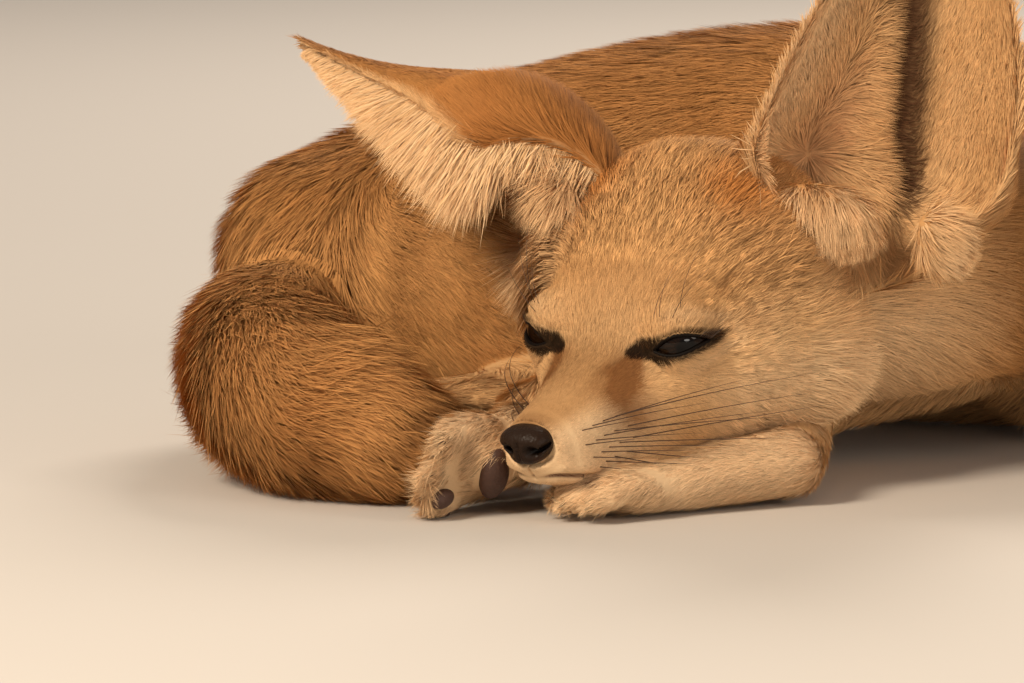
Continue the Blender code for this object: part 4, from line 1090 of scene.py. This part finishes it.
def rim_piece(side):
    """Dark leathery edge of the lids: a thin tube on the outline of the slit."""
    centre, axes = eye_frame(side)
    turn = np.linspace(0, 2 * math.pi, 96, endpoint=False)
    table = np.array(OPENING)
    middle, half = (table[0, 0] + table[-1, 0]) / 2, (table[-1, 0] - table[0, 0]) / 2
    a = middle + half * np.cos(turn)
    upper, lower = smooth(OPENING, a).T
    b = np.where(np.sin(turn) >= 0, upper, lower)
    lid = EYE_RADIUS + 0.6
    depth = np.sqrt(np.maximum(lid**2 - a**2 - b**2, 1))
    path = centre + depth[:, None] * axes[0] + a[:, None] * axes[1] + b[:, None] * axes[2]
    path = from_head(path)
    outward = unit(path - from_head(centre))
    ahead = unit(np.roll(path, -1, axis=0) - np.roll(path, 1, axis=0))
    beside = np.cross(ahead, outward)
    spin = np.linspace(0, 2 * math.pi, 8, endpoint=False)
    turned = outward[:, None] * np.cos(spin)[None, :, None] + beside[:, None] * np.sin(spin)[None, :, None]
    ring = path[:, None] + LID_RIM * turned
    return ring.reshape(-1, 3), grid_faces(*ring.shape[:2], close=True)


eye_piece("eyeball_left", "eye_left", 1)
eye_piece("eyeball_right", "eye_right", -1)
mesh_piece("lid_rims", *join([rim_piece(1), rim_piece(-1)]), LID, "dark")


def nose_piece():
    """Nose pad: a rounded block, flat in front, with a comma-shaped nostril each side of a groove."""
    place, halves = np.array([3.2, 0, -0.4]), np.array([4.2, 6.2, 4.3])
    points, faces = ball(np.zeros(3), np.eye(3), (1, 1, 1), rings=70, sides=110)
    power = 2 / 2.5
    points = np.sign(points) * np.abs(points) ** power
    points = points / np.maximum(np.linalg.norm(points, axis=1, ord=2.5, keepdims=True), 1e-9)
    x, y, z = (points * halves).T
    y = y * (1 - 0.22 * ramp(1, -4, z))
    x = x + 0.9 * ramp(0.5, 4.5, np.abs(y)) * ramp(1, -3, z) + 0.35 * ramp(2, 4.4, z)
    front = ramp(0.5, -1.5, x)
    hole = np.zeros(len(x))
    for side in (1, -1):
        u, v = side * y - 3, z + 0.7
        hole = np.maximum(hole, np.exp(-((u / 1.25) ** 2) - ((v / 1.15) ** 2)))
        sweep = np.clip(u, 0, 3.2)
        off_slot = ((u - sweep) / 0.8) ** 2 + ((v - 0.22 * sweep - 0.1 * sweep**2 + 0.3) / 0.55) ** 2
        hole = np.maximum(hole, 0.95 * np.exp(-off_slot))
    groove = bell(y, 0, 0.42) * ramp(2.5, 0.5, z)
    x = x + (3 * hole + 0.7 * groove) * front
    # painted shade: the nostril holes are coloured near black
    colour = mix(NOSE_DARK, NOSTRIL_SHADE, np.clip(1.3 * hole * front, 0, 1))
    colour = mix(colour, NOSE_EDGE, 0.5 * ramp(-1.5, -3.8, z) * ramp(2, 5, np.abs(y)))
    points = from_head(np.stack([x, y, z], -1) + place)
    mesh_piece("nose_pad", points, faces, NOSE, "nose", colour, stands_for=["nose"])


nose_piece()

# Claws and pads
claw_parts, pad_parts = [], []
for paw in PAWS:
    _, claws, pads = paw_pieces(paw)
    for root, heading, under, across in claws:
        s = np.linspace(0, 1, 9)[:, None]
        path = root - heading * 2.2 + heading * 4.4 * s + under * (1.7 * s**2 - 0.4 * s)
        size = 0.62 * (1 - s**1.6) + 0.05
        spin = np.linspace(0, 2 * math.pi, 10, endpoint=False)[None, :, None]
        grid = path[:, None] + size[:, None] * (across * np.cos(spin) * 0.75 + under * np.sin(spin))
        claw_parts.append(closed(grid, [path[0] - heading * 0.2, path[-1] + heading * 0.1]))
    if PAWS[paw][5]:
        for k, (place, heading, across, under, halves) in enumerate(pads):
            sunk = {1: 0.3, 4: 0.3}.get(k, -2.8)
            pad_parts.append(ball(place + under * sunk, [heading, across, under], halves, 12, 20))
mesh_piece("claws", *join(claw_parts), CLAW, "dark")
mesh_piece("paw_pads", *join(pad_parts), PAD, "rust")

# Coat of the body
def head_lie(points):
    """Lie of the head's coat: back from the nose, parting at the brow, round the eyes, down the cheeks."""
    p = to_head(points)
    back, left, up = p.T
    way = np.zeros_like(p)
    way[:, 0] = 1
    way[:, 1] = 0.012 * left * ramp(20, 60, back)
    way[:, 2] = 0.20 * ramp(6, 20, up) - 0.62 * ramp(10, -6, up) * ramp(18, 34, back)
    temple = ramp(-12, -24, left) * ramp(40, 55, back) * ramp(-12, 0, up)
    way[:, 1] -= 0.9 * temple
    way[:, 2] -= 0.5 * temple
    for side in (1, -1):
        centre, axes = eye_frame(side)
        offset = p - (centre + axes[0] * EYE_RADIUS)
        along_slit, over = offset @ axes[1], offset @ axes[2]
        far = np.hypot(along_slit / 1.4, over)
        push = bell(far, 0, 5.5) * ramp(16, 12, np.linalg.norm(p - centre, axis=1))
        way *= (1 - 0.55 * push * (over > 0))[:, None]
        away = np.tanh(over) * np.where(over > 0, 1, 0.3)
        way += (away * push * 0.9)[:, None] * axes[2]
    return way @ HEAD


def whorl(name):
    """The place inside an ear from which its hair fans out."""
    ear = ear_frame(name)
    return ear_sheet(ear, np.array([0.15]), np.array([0.33]), 2)[0]


def ear_mounds(points):
    """Nearness, from 0 to 1, to each ear's plug and lobe, and the lie and length of the hair there."""
    nearness, lies, lengths = [], [], []
    for name in EARS:
        for part, (centre, axes, halves) in enumerate(swellings(name)):
            local = (points - centre) @ np.array(axes).T / halves
            nearness.append(ramp(1.45, 1.1, np.linalg.norm(local, axis=1)))
            fan = unit(points - whorl(name)) * [1, 0.3, 1] * (name == "left" and part == 0)
            lies.append(fan + np.array(EAR_COMBS[name][part][0]))
            lengths.append(EAR_COMBS[name][part][1])
    return nearness, lies, lengths


def grown(points, faces, normals, density, seed):
    """Roots by density over triangles: corners, shares of them, places and normals."""
    corners, shares = scatter(points, faces, density, np.random.default_rng(seed))
    return corners, shares, at_roots(points, corners, shares), unit(at_roots(normals, corners, shares))


PAD_MARGIN = [-0.5, -0.7, 2.5]


def off_pads(points):
    """True over the two pads that the fur of the upturned paw leaves open."""
    covered = np.zeros(len(points), bool)
    for place, heading, across, under, halves in (shown_pads[1], shown_pads[4]):
        local = (points - place) @ np.array([heading, across, under]).T / (np.array(halves) + PAD_MARGIN)
        covered |= np.linalg.norm(local, axis=1) < 1
    return covered


MOUND_DENSITY, MOUND_WIDTH = 7, 0.28
GRIZZLED = 0.14
shown_pads = paw_pieces("paw_right")[2]
density = track_values(body_near, 4)
density = density * (1 - 0.75 * (body_normals[:, 2] < -0.75) * (body_points[:, 2] < 6))
mounds = ear_mounds(body_points)[0]
for k, near in enumerate(mounds):
    density = density + (MOUND_DENSITY - density) * near
density = np.where(in_head, 0, density)
corners, shares, roots, normals = grown(body_points, body_faces, body_normals, density, 101)
near = at_roots(body_near, corners, shares)
lie = unit(at_roots(body_lie, corners, shares))
main = near.argmin(axis=1)
share = at_roots(body_share, corners, shares)
turn = body_turn[corners[:, 0]]
lie = lie + np.array([0, 0, -1]) * track_values(near, 5)[:, None]
lie = unit(lie + np.cross(lie, normals) * (0.22 * waves(roots, 38, 55))[:, None])
names = np.array(TRACK_NAMES)[main]
by_head = (head_nearness(roots) * np.isin(names, ["neck", "torso", "upper_arm_left"]))[:, None]
lie = unit(lie * (1 - by_head) + unit(head_lie(roots)) * by_head)
length, width = track_values(near, 2), track_values(near, 3)
colour = body_colour(roots, near, share, main)
colour = mix(colour, head_colour(roots), 0.85 * inside_head(roots, -5))
lifting = 0.34 + 0.14 * waves(roots, 30, 91)
lifting = np.where(names == "forearm_left", 0.16, lifting)
grizzle = (draw.uniform(0, 1, len(roots)) < GRIZZLED) & (names != "tail")
colour = np.where(grizzle[:, None], colour * 0.6, colour)
mounds, mound_lies, mound_lengths = ear_mounds(roots)
mound_tan = mix(mix(CREAM, SAND, 0.4), PALE, 0.5 + 0.3 * waves(roots, 12, 31))
for close, way, long_ in zip(mounds, mound_lies, mound_lengths):
    lie = lie * (1 - close)[:, None] + unit(way) * close[:, None]
    length = length + (long_ - length) * close
    width = width + (MOUND_WIDTH - width) * close
    colour = mix(colour, mound_tan, close)
uv = np.stack([(turn / (2 * math.pi)) % 1, np.clip(share, 0.01, 0.99)], -1)
trunk, tail, paws = names == "torso", names == "tail", np.isin(names, list(PAWS))
legs = np.char.startswith(names, "fore") | np.char.startswith(names, "shank")
for name, chosen, slot in (
    ("coat_trunk", trunk, "sand"),
    ("coat_neck_thighs", ~(legs | paws | tail | trunk), "sand"),
    ("coat_legs", legs, "cream"),
    ("coat_paws", paws, "cream"),
):
    k = np.flatnonzero(chosen)
    patch = np.stack([(uv[k, 0] + main[k] % 4) / 4, uv[k, 1]], -1)
    small = slot == "cream"
    hairs(name, roots[k], normals[k], lie[k], length[k], width[k], lifting[k] - (0.06 if small else 0),
          colour[k], patch, slot, faces_each=1, bend=0.5, clump_size=9 if small else 16,
          clump_pull=0.25 if small else 0.4, shade=0.80, stray=0.20,
          barred=off_pads if name == "coat_paws" else None)
k = np.flatnonzero(tail)
full = smooth(np.column_stack([np.linspace(0, 1, len(TAIL)), np.array(TAIL)[:, 3]]), share[k])[:, 0]
length_tail = np.clip(full * 1.2, 9, 26)
lift_tail = np.arcsin(np.clip(full * (0.84 - TAIL_CORE) / length_tail * 1.2, 0.1, 0.6))
raised = roots[k] + normals[k] * (0.18 * full * ramp(0, 0.15, share[k]) * ramp(1, 0.8, share[k]))[:, None]
lie_tail = lie[k] + np.cross(lie[k], normals[k]) * (0.25 * waves(roots[k], 24, 77))[:, None]
hairs("coat_tail", raised, normals[k], lie_tail, length_tail, 0.34, lift_tail, colour[k], uv[k], "sand",
      faces_each=3, bend=0.25, clump_size=18, clump_pull=0.28, shade=0.92)


# Coat of the head
def bare(points):
    """True where hair would cover the open eye, the nose pad or the line of the lips."""
    p = to_head(points)
    pad = np.abs(p[:, 1] / 6.5) ** 2.5 + np.abs((p[:, 2] + 0.4) / 4.6) ** 2.5
    covered = (pad < 1) & (p[:, 0] < 4.5)
    gap = np.abs(p[:, 2] - np.interp(p[:, 0], *np.array(MOUTH_LINE).T))
    covered = covered | ((gap < 0.55) & (p[:, 0] > 3) & (p[:, 0] < 29))
    for side in (1, -1):
        out, a, b = by_eye(p, side)
        covered = covered | ((out > -2) & (within(OPENING, a, b) > -0.45))
    return covered


p = to_head(head_points)
near_head, *_ = track_fit(head_points)
buried = near_head[:, TRACK_NAMES.index("neck")] < 0.74
density = np.interp(p[:, 0], [0, 10, 29, 31, 46, 50, 60, 66, 98], [30, 30, 26, 28, 24, 18, 16, 14, 11])
density = np.where(buried, 0, density)
corners, shares, roots, normals = grown(head_points, head_faces, head_normals, density, 202)
q = to_head(roots)
back = q[:, 0]
length = np.interp(back, [0, 6, 16, 30, 42, 52, 64, 80, 98], [1, 1.3, 1.9, 2.6, 3.8, 6, 9, 12, 13])
width = np.interp(back, [0, 20, 40, 60, 98], [0.15, 0.17, 0.20, 0.24, 0.32])
lift = np.interp(back, [0, 30, 60, 98], [0.24, 0.26, 0.38, 0.48])
ruff = ramp(48, 70, back) * ramp(16, 2, q[:, 2])
peak = ramp(46, 64, back) * ramp(10, 24, q[:, 2])
jaw = ramp(28, 44, back) * ramp(60, 50, back) * ramp(-8, -16, q[:, 2])
length = length * (1 + 0.9 * ruff + 0.5 * peak + 1.1 * jaw)
stop = bell(back, 34, 6) * ramp(5, 10, q[:, 2])
lift = lift - 0.04 * ruff + 0.50 * peak + 0.40 * stop
for side in (1, -1):
    centre, axes = eye_frame(side)
    offset = q - (centre + axes[0] * EYE_RADIUS)
    far = np.hypot(offset @ axes[1] / 1.5, offset @ axes[2])
    close = bell(far, 0, 4.5) * ramp(18, 13, np.linalg.norm(q - centre, axis=1))
    length = length * (1 - 0.50 * close)
    width = width * (1 - 0.25 * close)
    lift = lift + 0.30 * close * (offset @ axes[1] < -3)
fluff = ramp(-14, -26, q[:, 1]) * ramp(44, 56, back) * ramp(-10, 4, q[:, 2])
length = length + 7 * fluff
lift = lift + 0.12 * fluff
lie = unit(head_lie(roots))
hanging = fluff * ramp(8, 20, q[:, 2]) * ramp(76, 66, back)
lie = lie * (1 - hanging)[:, None] + np.array([-0.72, 0.05, -0.69]) * hanging[:, None]
length = length + 5 * hanging
lift = lift + 0.15 * hanging
lie = lie + np.cross(lie, normals) * (0.12 * waves(roots, 17, 66))[:, None]
# where the face rises ahead of a hair, the hair stands up enough to stay out of it
skin_tree = kdtree.KDTree(len(head_points))
for k, point in enumerate(head_points):
    skin_tree.insert(Vector(point), k)
skin_tree.balance()
front = np.flatnonzero(back < 62)
flat = unit(lie[front] - normals[front] * np.sum(lie[front] * normals[front], axis=1, keepdims=True))
ahead = roots[front] + flat * (0.85 * length[front])[:, None]
met = head_points[[skin_tree.find(Vector(point))[1] for point in ahead]]
climb = np.sum((met - roots[front]) * normals[front], axis=1) / length[front]
lift[front] = np.maximum(lift[front], np.arcsin(np.clip((climb + 0.10) / 0.52, 0, 0.93)))
colour = mix(head_colour(roots), mix(CREAM, PALE, 0.6), 0.7 * hanging)
crown = ramp(40, 56, back) * ramp(4, 16, q[:, 2])
ticked = draw.uniform(0, 1, len(q)) < 0.06 + 0.26 * crown
colour = np.where(ticked[:, None], mix(colour, BROWN, 0.5), colour)
uv_across = at_roots(np.cos(head_turn), corners, shares)
uv = np.stack([(uv_across + 1) / 2 * 0.49 + 0.5 * (q[:, 2] < 0), np.clip(back / 99, 0.005, 0.99)], -1)
for name, chosen, each, slot in (
    ("coat_muzzle", back < 30, 1, "cream"),
    ("coat_face", (back >= 30) & (back < 47), 1, "cream"),
    ("coat_brow", (back >= 47) & (back < 62), 3, "sand"),
    ("coat_crown_left", (back >= 62) & (q[:, 1] > 0), 3, "sand"),
    ("coat_crown_right", (back >= 62) & (q[:, 1] <= 0), 3, "sand"),
):
    k = np.flatnonzero(chosen)
    clumps = {1: (8, 0.15, 0.06), 3: (24, 0.48, 0.10)}[each]
    hairs(name, roots[k], normals[k], lie[k], length[k], width[k], lift[k], colour[k], uv[k], slot,
          faces_each=each, bend=0.55, clump_size=clumps[0], clump_pull=clumps[1], shade=0.66, sink=0.12,
          vary=0.11, locks=clumps[2], barred=bare)

# Coat of the ears
EAR_DENSITY = {"left": 9.5, "right": 6.5}
EAR_BACK_DENSITY = 6.5
FRINGE_HAIRS, EDGE_HAIRS = 34000, 16000
SKIRT_LIE = np.array([0.10, -0.35, -1])
FRINGE_LIE, FRINGE_HANG = np.array([-0.74, 0.12, -0.62]), np.array([-0.42, -0.05, -0.92])
# share up the ear, and the length of the hair that spills from its near rim there
FRINGE_LENGTH = [(-0.1, 22), (0, 22), (0.15, 20), (0.35, 15.5), (0.5, 12), (0.7, 8.5), (0.9, 4)]


def ear_patches(w, s):
    """Map places of ear hairs: across by swing, up by share."""
    return np.stack([np.clip((w + 1) / 2, 0.005, 0.99), np.clip(s, 0.005, 0.99)], -1)


def inside_coat(name, roots, s, w):
    """Lie, length and lift inside an ear: a band combed across the hollow, whose hair beyond the parting runs
    to the edge, a plain far wall, and a foot where the hair fans out and falls over plug and lobe."""
    root, up, out, across, side = ear_frame(name)
    temple = -across * side
    past = w - 0.34 + 0.02 * np.sin(s * 23)
    to_edge = up * 0.75 - temple * 0.55
    combed = temple[None] + up[None] * (-0.06 + 0.5 * ramp(0.3, 0.8, s))[:, None]
    wall = up * 0.9 + temple * 0.35
    band = ramp(-0.06, 0.08, past)[:, None]
    lie = combed * (1 - band) + to_edge * band
    beyond = w - (-0.12 + 0.5 * s)
    far_side = ramp(-0.02, -0.10, beyond)[:, None]
    lie = lie * (1 - far_side) + wall * far_side
    near_side = ramp(-0.14, -0.04, w)
    foot = (ramp(0.24, 0.10, s) * near_side)[:, None]
    lie = unit(lie) * (1 - foot) + unit(roots - whorl(name)) * foot * 1.4
    skirt = (ramp(0.13, 0.05, s) * near_side * (side < 0))[:, None]
    lobe = (ramp(0.14, 0.04, s) * ramp(-0.10, -0.20, w) * (side < 0))[:, None]
    lie = unit(lie) * (1 - skirt - lobe) + SKIRT_LIE * skirt
    lie = lie + np.array(EAR_COMBS[name][1][0]) * lobe
    taper = 1 - 0.6 * ramp(0.25, 0.95, s)
    fringe = bell(beyond, 0.22, 0.13)
    length = np.where(beyond < -0.05, 5.5 * taper, (4.4 + 5.2 * fringe) * taper) + 5 * foot[:, 0]
    length = length + 5 * skirt[:, 0] + 2.5 * lobe[:, 0]
    lift = np.where(beyond < -0.05, 0.32, 0.26 + 0.30 * fringe)
    lift = lift + 0.10 * foot[:, 0] + 0.15 * skirt[:, 0]
    if side > 0:
        # the laid-back ear shows long hair that spills from its opening
        spill = ramp(0.35, 0.75, w)
        length = length * (1 + 0.8 * ramp(0.3, -0.5, w)) + 5 * spill * taper
        lift = lift + 0.25 * spill
        lie = unit(lie) * (1 - spill)[:, None] + (temple * 0.7 + up * 0.5)[None] * spill[:, None]
    return lie, length, lift


def ear_coat(name, points, faces, share_e, swing_e, inner_e, inside):
    """Short hair on the back of an ear or on its inside."""
    root, up, out, across, side = ear_frame(name)
    if inside:
        density = EAR_DENSITY[name] * (1 - 0.92 * ear_hollow(share_e, swing_e))
    else:
        density = np.full(len(points), EAR_BACK_DENSITY)
    density = np.where((inner_e > 0.5) == inside, density, 0) * (share_e > (-0.03 if inside else -0.16))
    seed = 300 + inside + 2 * (side > 0)
    corners, shares, roots, normals = grown(points, faces, normals_of(points, faces), density, seed)
    s = at_roots(share_e, corners, shares)
    w = at_roots(swing_e, corners, shares)
    colour = ear_colour(roots, s, w, np.full(len(roots), float(inside)))
    if inside:
        lie, length, lift = inside_coat(name, roots, s, w)
        width = 0.24
    else:
        lie = up[None] * 0.9 + (-across * side)[None] * (-w * 0.4)[:, None]
        length = 4.2 + 5.5 * ramp(0.22, -0.02, s)
        lift = 0.24 + 0.16 * ramp(0.22, 0, s)
        width = 0.27 + 0.06 * ramp(0.3, 0, s)
    hairs(f"coat_ear_{name}_{'inside' if inside else 'back'}", roots, normals, lie, length, width, lift,
          colour, ear_patches(w, s), "cream" if inside else "sand", faces_each=3 if inside else 1, bend=0.40,
          clump_size=9, clump_pull=0.35, shade=0.80, sink=0.1)


def ear_fringe(name):
    """Long cream hair that stands out of the laid-back ear's mouth, from its near rim and its foot."""
    count = FRINGE_HAIRS
    from_rim = draw.uniform(0, 1, count) < 0.72
    w = np.where(from_rim, draw.uniform(0.74, 0.985, count), draw.uniform(-0.3, 0.98, count))
    start = EAR_SECTIONS[0][0] + 0.03 + EAR_FOOT_TRIM * np.abs(w)
    s = np.where(w > 0.74, start + (0.94 - start) * draw.uniform(0, 1, count) ** 1.2,
                 start + 0.10 * draw.uniform(0, 1, count))
    roots = ear_sheet(ear_frame(name), s, w, EAR_WALL - 0.4)
    hang = ramp(0.45, -0.05, s)[:, None]
    lie = FRINGE_LIE * (1 - hang) + FRINGE_HANG * hang
    normals = unit(np.array([-0.30, -0.90, 0.10]) + draw.normal(0, 0.12, (count, 3)))
    length = np.interp(s, *np.array(FRINGE_LENGTH).T)
    length = length * (0.35 + 0.65 * np.sqrt(draw.uniform(0, 1, count))) * np.where(w > 0.74, 1, 0.7)
    colour = mix(mix(CREAM, SAND, 0.25), PALE, draw.uniform(0.1, 0.9, count))
    lift = draw.uniform(-0.25, 0.45, count)
    hairs(f"coat_ear_{name}_fringe", roots, normals, lie, length, 0.26, lift, colour, ear_patches(w, s),
          "cream", faces_each=3, bend=0.35, clump_size=22, clump_pull=0.35, shade=0.82, sink=0.2)


def ear_edge(name):
    """Short dense hair on the ear's edge, long under the laid-back ear."""
    root, up, out, across, side = ear_frame(name)
    count = EDGE_HAIRS
    share = draw.uniform(0.04, 0.998, count)
    edge_side = np.where(draw.uniform(0, 1, count) < 0.5, 1.0, -1.0)
    roots = ear_sheet(ear_frame(name), share, edge_side * draw.uniform(0.955, 0.985, count), 1.3)
    outward = unit(roots - ear_sheet(ear_frame(name), share, edge_side * 0.80, 1.3))
    normals = unit(outward + draw.normal(0, 0.35, (count, 3)))
    below = (side > 0) * (edge_side < 0) * ramp(1, 0.7, share)
    lie = up[None] + outward * (0.15 + 0.9 * below)[:, None] + 0.1 * out[None]
    colour = mix(PALE, CREAM, draw.uniform(0, 1, count))
    length = (2.4 - 0.9 * share) * (0.6 + 0.4 * ramp(0.1, 0.3, share)) + 7 * below
    uv = np.stack([edge_side * 0.49 + 0.5, share * 0.98], -1)
    hairs(f"coat_ear_{name}_edge", roots, normals, lie, length, 0.18 + 0.06 * below, 0.30, colour, uv,
          "cream", faces_each=1, bend=0.3, clump_size=5, clump_pull=0.2, sink=0.5, shade=0.75)


for name, parts_of_ear in ear_parts.items():
    for inside in (False, True):
        ear_coat(name, *parts_of_ear, inside)
    if name == "right":
        ear_fringe(name)
    ear_edge(name)


# Whiskers and lashes
WHISKER_RADIUS, BROW_RADIUS, LASH_RADIUS = 0.13, 0.075, 0.09


def strand(path, radius, sides=5):
    """A closed thin tapering tube along a path."""
    ahead = unit(np.gradient(path, axis=0))
    beside = unit(np.cross(ahead, np.array([0.3, 0.2, 0.93])))
    above = np.cross(beside, ahead)
    spin = np.linspace(0, 2 * math.pi, sides, endpoint=False)[None, :, None]
    size = radius * (1 - np.linspace(0, 1, len(path)) ** 1.5 * 0.92)[:, None, None]
    grid = path[:, None] + size * (beside[:, None] * np.cos(spin) + above[:, None] * np.sin(spin))
    return closed(grid, [path[0], path[-1]])


def whiskers():
    """Rows of whiskers on the lip, a few over the eyes, and lashes, each a thin curved strand."""
    parts = []
    rows = [(0.2, 4, 12), (-2.8, 5, 11), (-5.8, 5, 12), (-8.6, 4, 14), (-11, 3, 20)]
    for side in (1, -1):
        for row, (level, count, first) in enumerate(rows):
            for k in range(count):
                back = first + 3.4 * k
                here = smooth(HEAD_SECTIONS, [back])[0]
                reach = (here[1] - here[3]) if level > here[3] else (here[3] - here[2])
                share = min(0.97, abs(level - here[3]) / reach)
                wide = here[0] * (1 - share**2.25) ** (1 / 2.25)
                root = np.array([back, (wide - 0.6) * side, level])
                long_ = (15 + 36 * (k / (count - 1)) ** 0.8) * draw.uniform(0.85, 1.1)
                long_ = long_ * (0.75 if row > 2 else 1)
                s = np.linspace(0, 1, 16)[:, None]
                turned = draw.normal(0, 0.06, 2)
                way = unit(np.array([0.62, side * (0.80 + turned[0]), 0.16 - 0.13 * row + turned[1]]))
                curve = np.array([0.40, -side * 0.30, -0.26 + 0.03 * row])
                path = from_head(root + long_ * (way * s + curve * s**2 * 0.6))
                path[:, 2] = np.maximum(path[:, 2], 1)
                parts.append(strand(path, WHISKER_RADIUS))
        centre, axes = eye_frame(side)
        for k in range(4):
            jitter = draw.normal(0, 1, 3)
            root = centre + axes[0] * (EYE_RADIUS - 0.5) + axes[2] * (8 + jitter[0])
            root = root + axes[1] * (-5 + 2.2 * k + 0.7 * jitter[1])
            s = np.linspace(0, 1, 10)[:, None]
            way = unit(axes[0] * 0.5 + axes[2] * 0.8 + np.array([0.3, 0.18 * jitter[2], 0]))
            path = root + (12 + 3 * k) * (way * s + np.array([0.5, side * 0.1, -0.15]) * s**2)
            parts.append(strand(from_head(path), BROW_RADIUS))
        for k in range(7):
            a = 4.8 + 0.7 * k
            b = np.interp(a, *np.array(SURROUND)[:, :2].T) - 0.3
            root = centre + unit(np.array([1, a / 8.3, b / 8.3])) @ axes * (EYE_RADIUS + 0.8)
            s = np.linspace(0, 1, 8)[:, None]
            way = unit(axes[0] * 0.35 + axes[1] * 0.9 + axes[2] * 0.45)
            path = root + (3 + 0.35 * k) * (way * s - axes[0] * 0.25 * s**2)
            parts.append(strand(from_head(path), LASH_RADIUS))
    mesh_piece("whiskers", *join(parts), WHISKER, "dark")


whiskers()

# Studio: lens in mm, distance in metres, degrees above the level, and the place in the drawing frame
CAMERA_LENS, CAMERA_DISTANCE, CAMERA_TILT = 260, 1.6, 7
CAMERA_AIM = (-0.0015, 0, 0.0406)
FLOOR = 6
LIGHTS_AIM = (0, 0, 0.05)
scene = bpy.context.scene
camera = bpy.data.objects.new("camera", bpy.data.cameras.new("camera"))
scene.collection.objects.link(camera)
camera.data.sensor_width = 36
camera.data.lens = CAMERA_LENS
camera.data.clip_start, camera.data.clip_end = 0.05, 50
aim = np.array(CAMERA_AIM) + SHIFT
tilt = math.radians(CAMERA_TILT)
camera.location = aim - np.array([0, math.cos(tilt), -math.sin(tilt)]) * CAMERA_DISTANCE
camera.rotation_euler = (math.pi / 2 - tilt, 0, 0)
scene.camera = camera

floor_mesh = bpy.data.meshes.new("floor")
corners = [(-FLOOR, -FLOOR, 0), (FLOOR, -FLOOR, 0), (FLOOR, FLOOR, 0), (-FLOOR, FLOOR, 0)]
floor_mesh.from_pydata(corners, [], [(0, 1, 2, 3)])
floor = bpy.data.objects.new("floor", floor_mesh)
floor_mesh.materials.append(material("floor", (0.60, 0.55, 0.50), 0.8))
scene.collection.objects.link(floor)


def softbox(name, place, wide, power, colour, high=None):
    """An oval area light that looks at the animal."""
    light = bpy.data.lights.new(name, "AREA")
    light.shape = "ELLIPSE"
    light.size, light.size_y = wide, high or wide
    light.energy = power
    light.color = colour
    made = bpy.data.objects.new(name, light)
    scene.collection.objects.link(made)
    made.location = place
    made.rotation_euler = (Vector(LIGHTS_AIM) - Vector(place)).to_track_quat("-Z", "Y").to_euler()


softbox("key", (-0.75, -0.95, 0.85), 0.45, 22, (1, 0.86, 0.68))
softbox("fill", (1.1, -0.9, 0.5), 0.6, 5, (1, 0.88, 0.74))
softbox("catch", (0.58, -1.22, 0.12), 0.40, 1.6, (1, 0.94, 0.84), 0.14)
softbox("rim", (0.4, 1.2, 1), 0.7, 14, (1, 0.9, 0.78))
world = bpy.data.worlds.new("studio")
scene.world = world
world.use_nodes = True
world.node_tree.nodes["Background"].inputs["Color"].default_value = (0.80, 0.74, 0.68, 1)
world.node_tree.nodes["Background"].inputs["Strength"].default_value = 0.38
scene.view_settings.view_transform = "Standard"
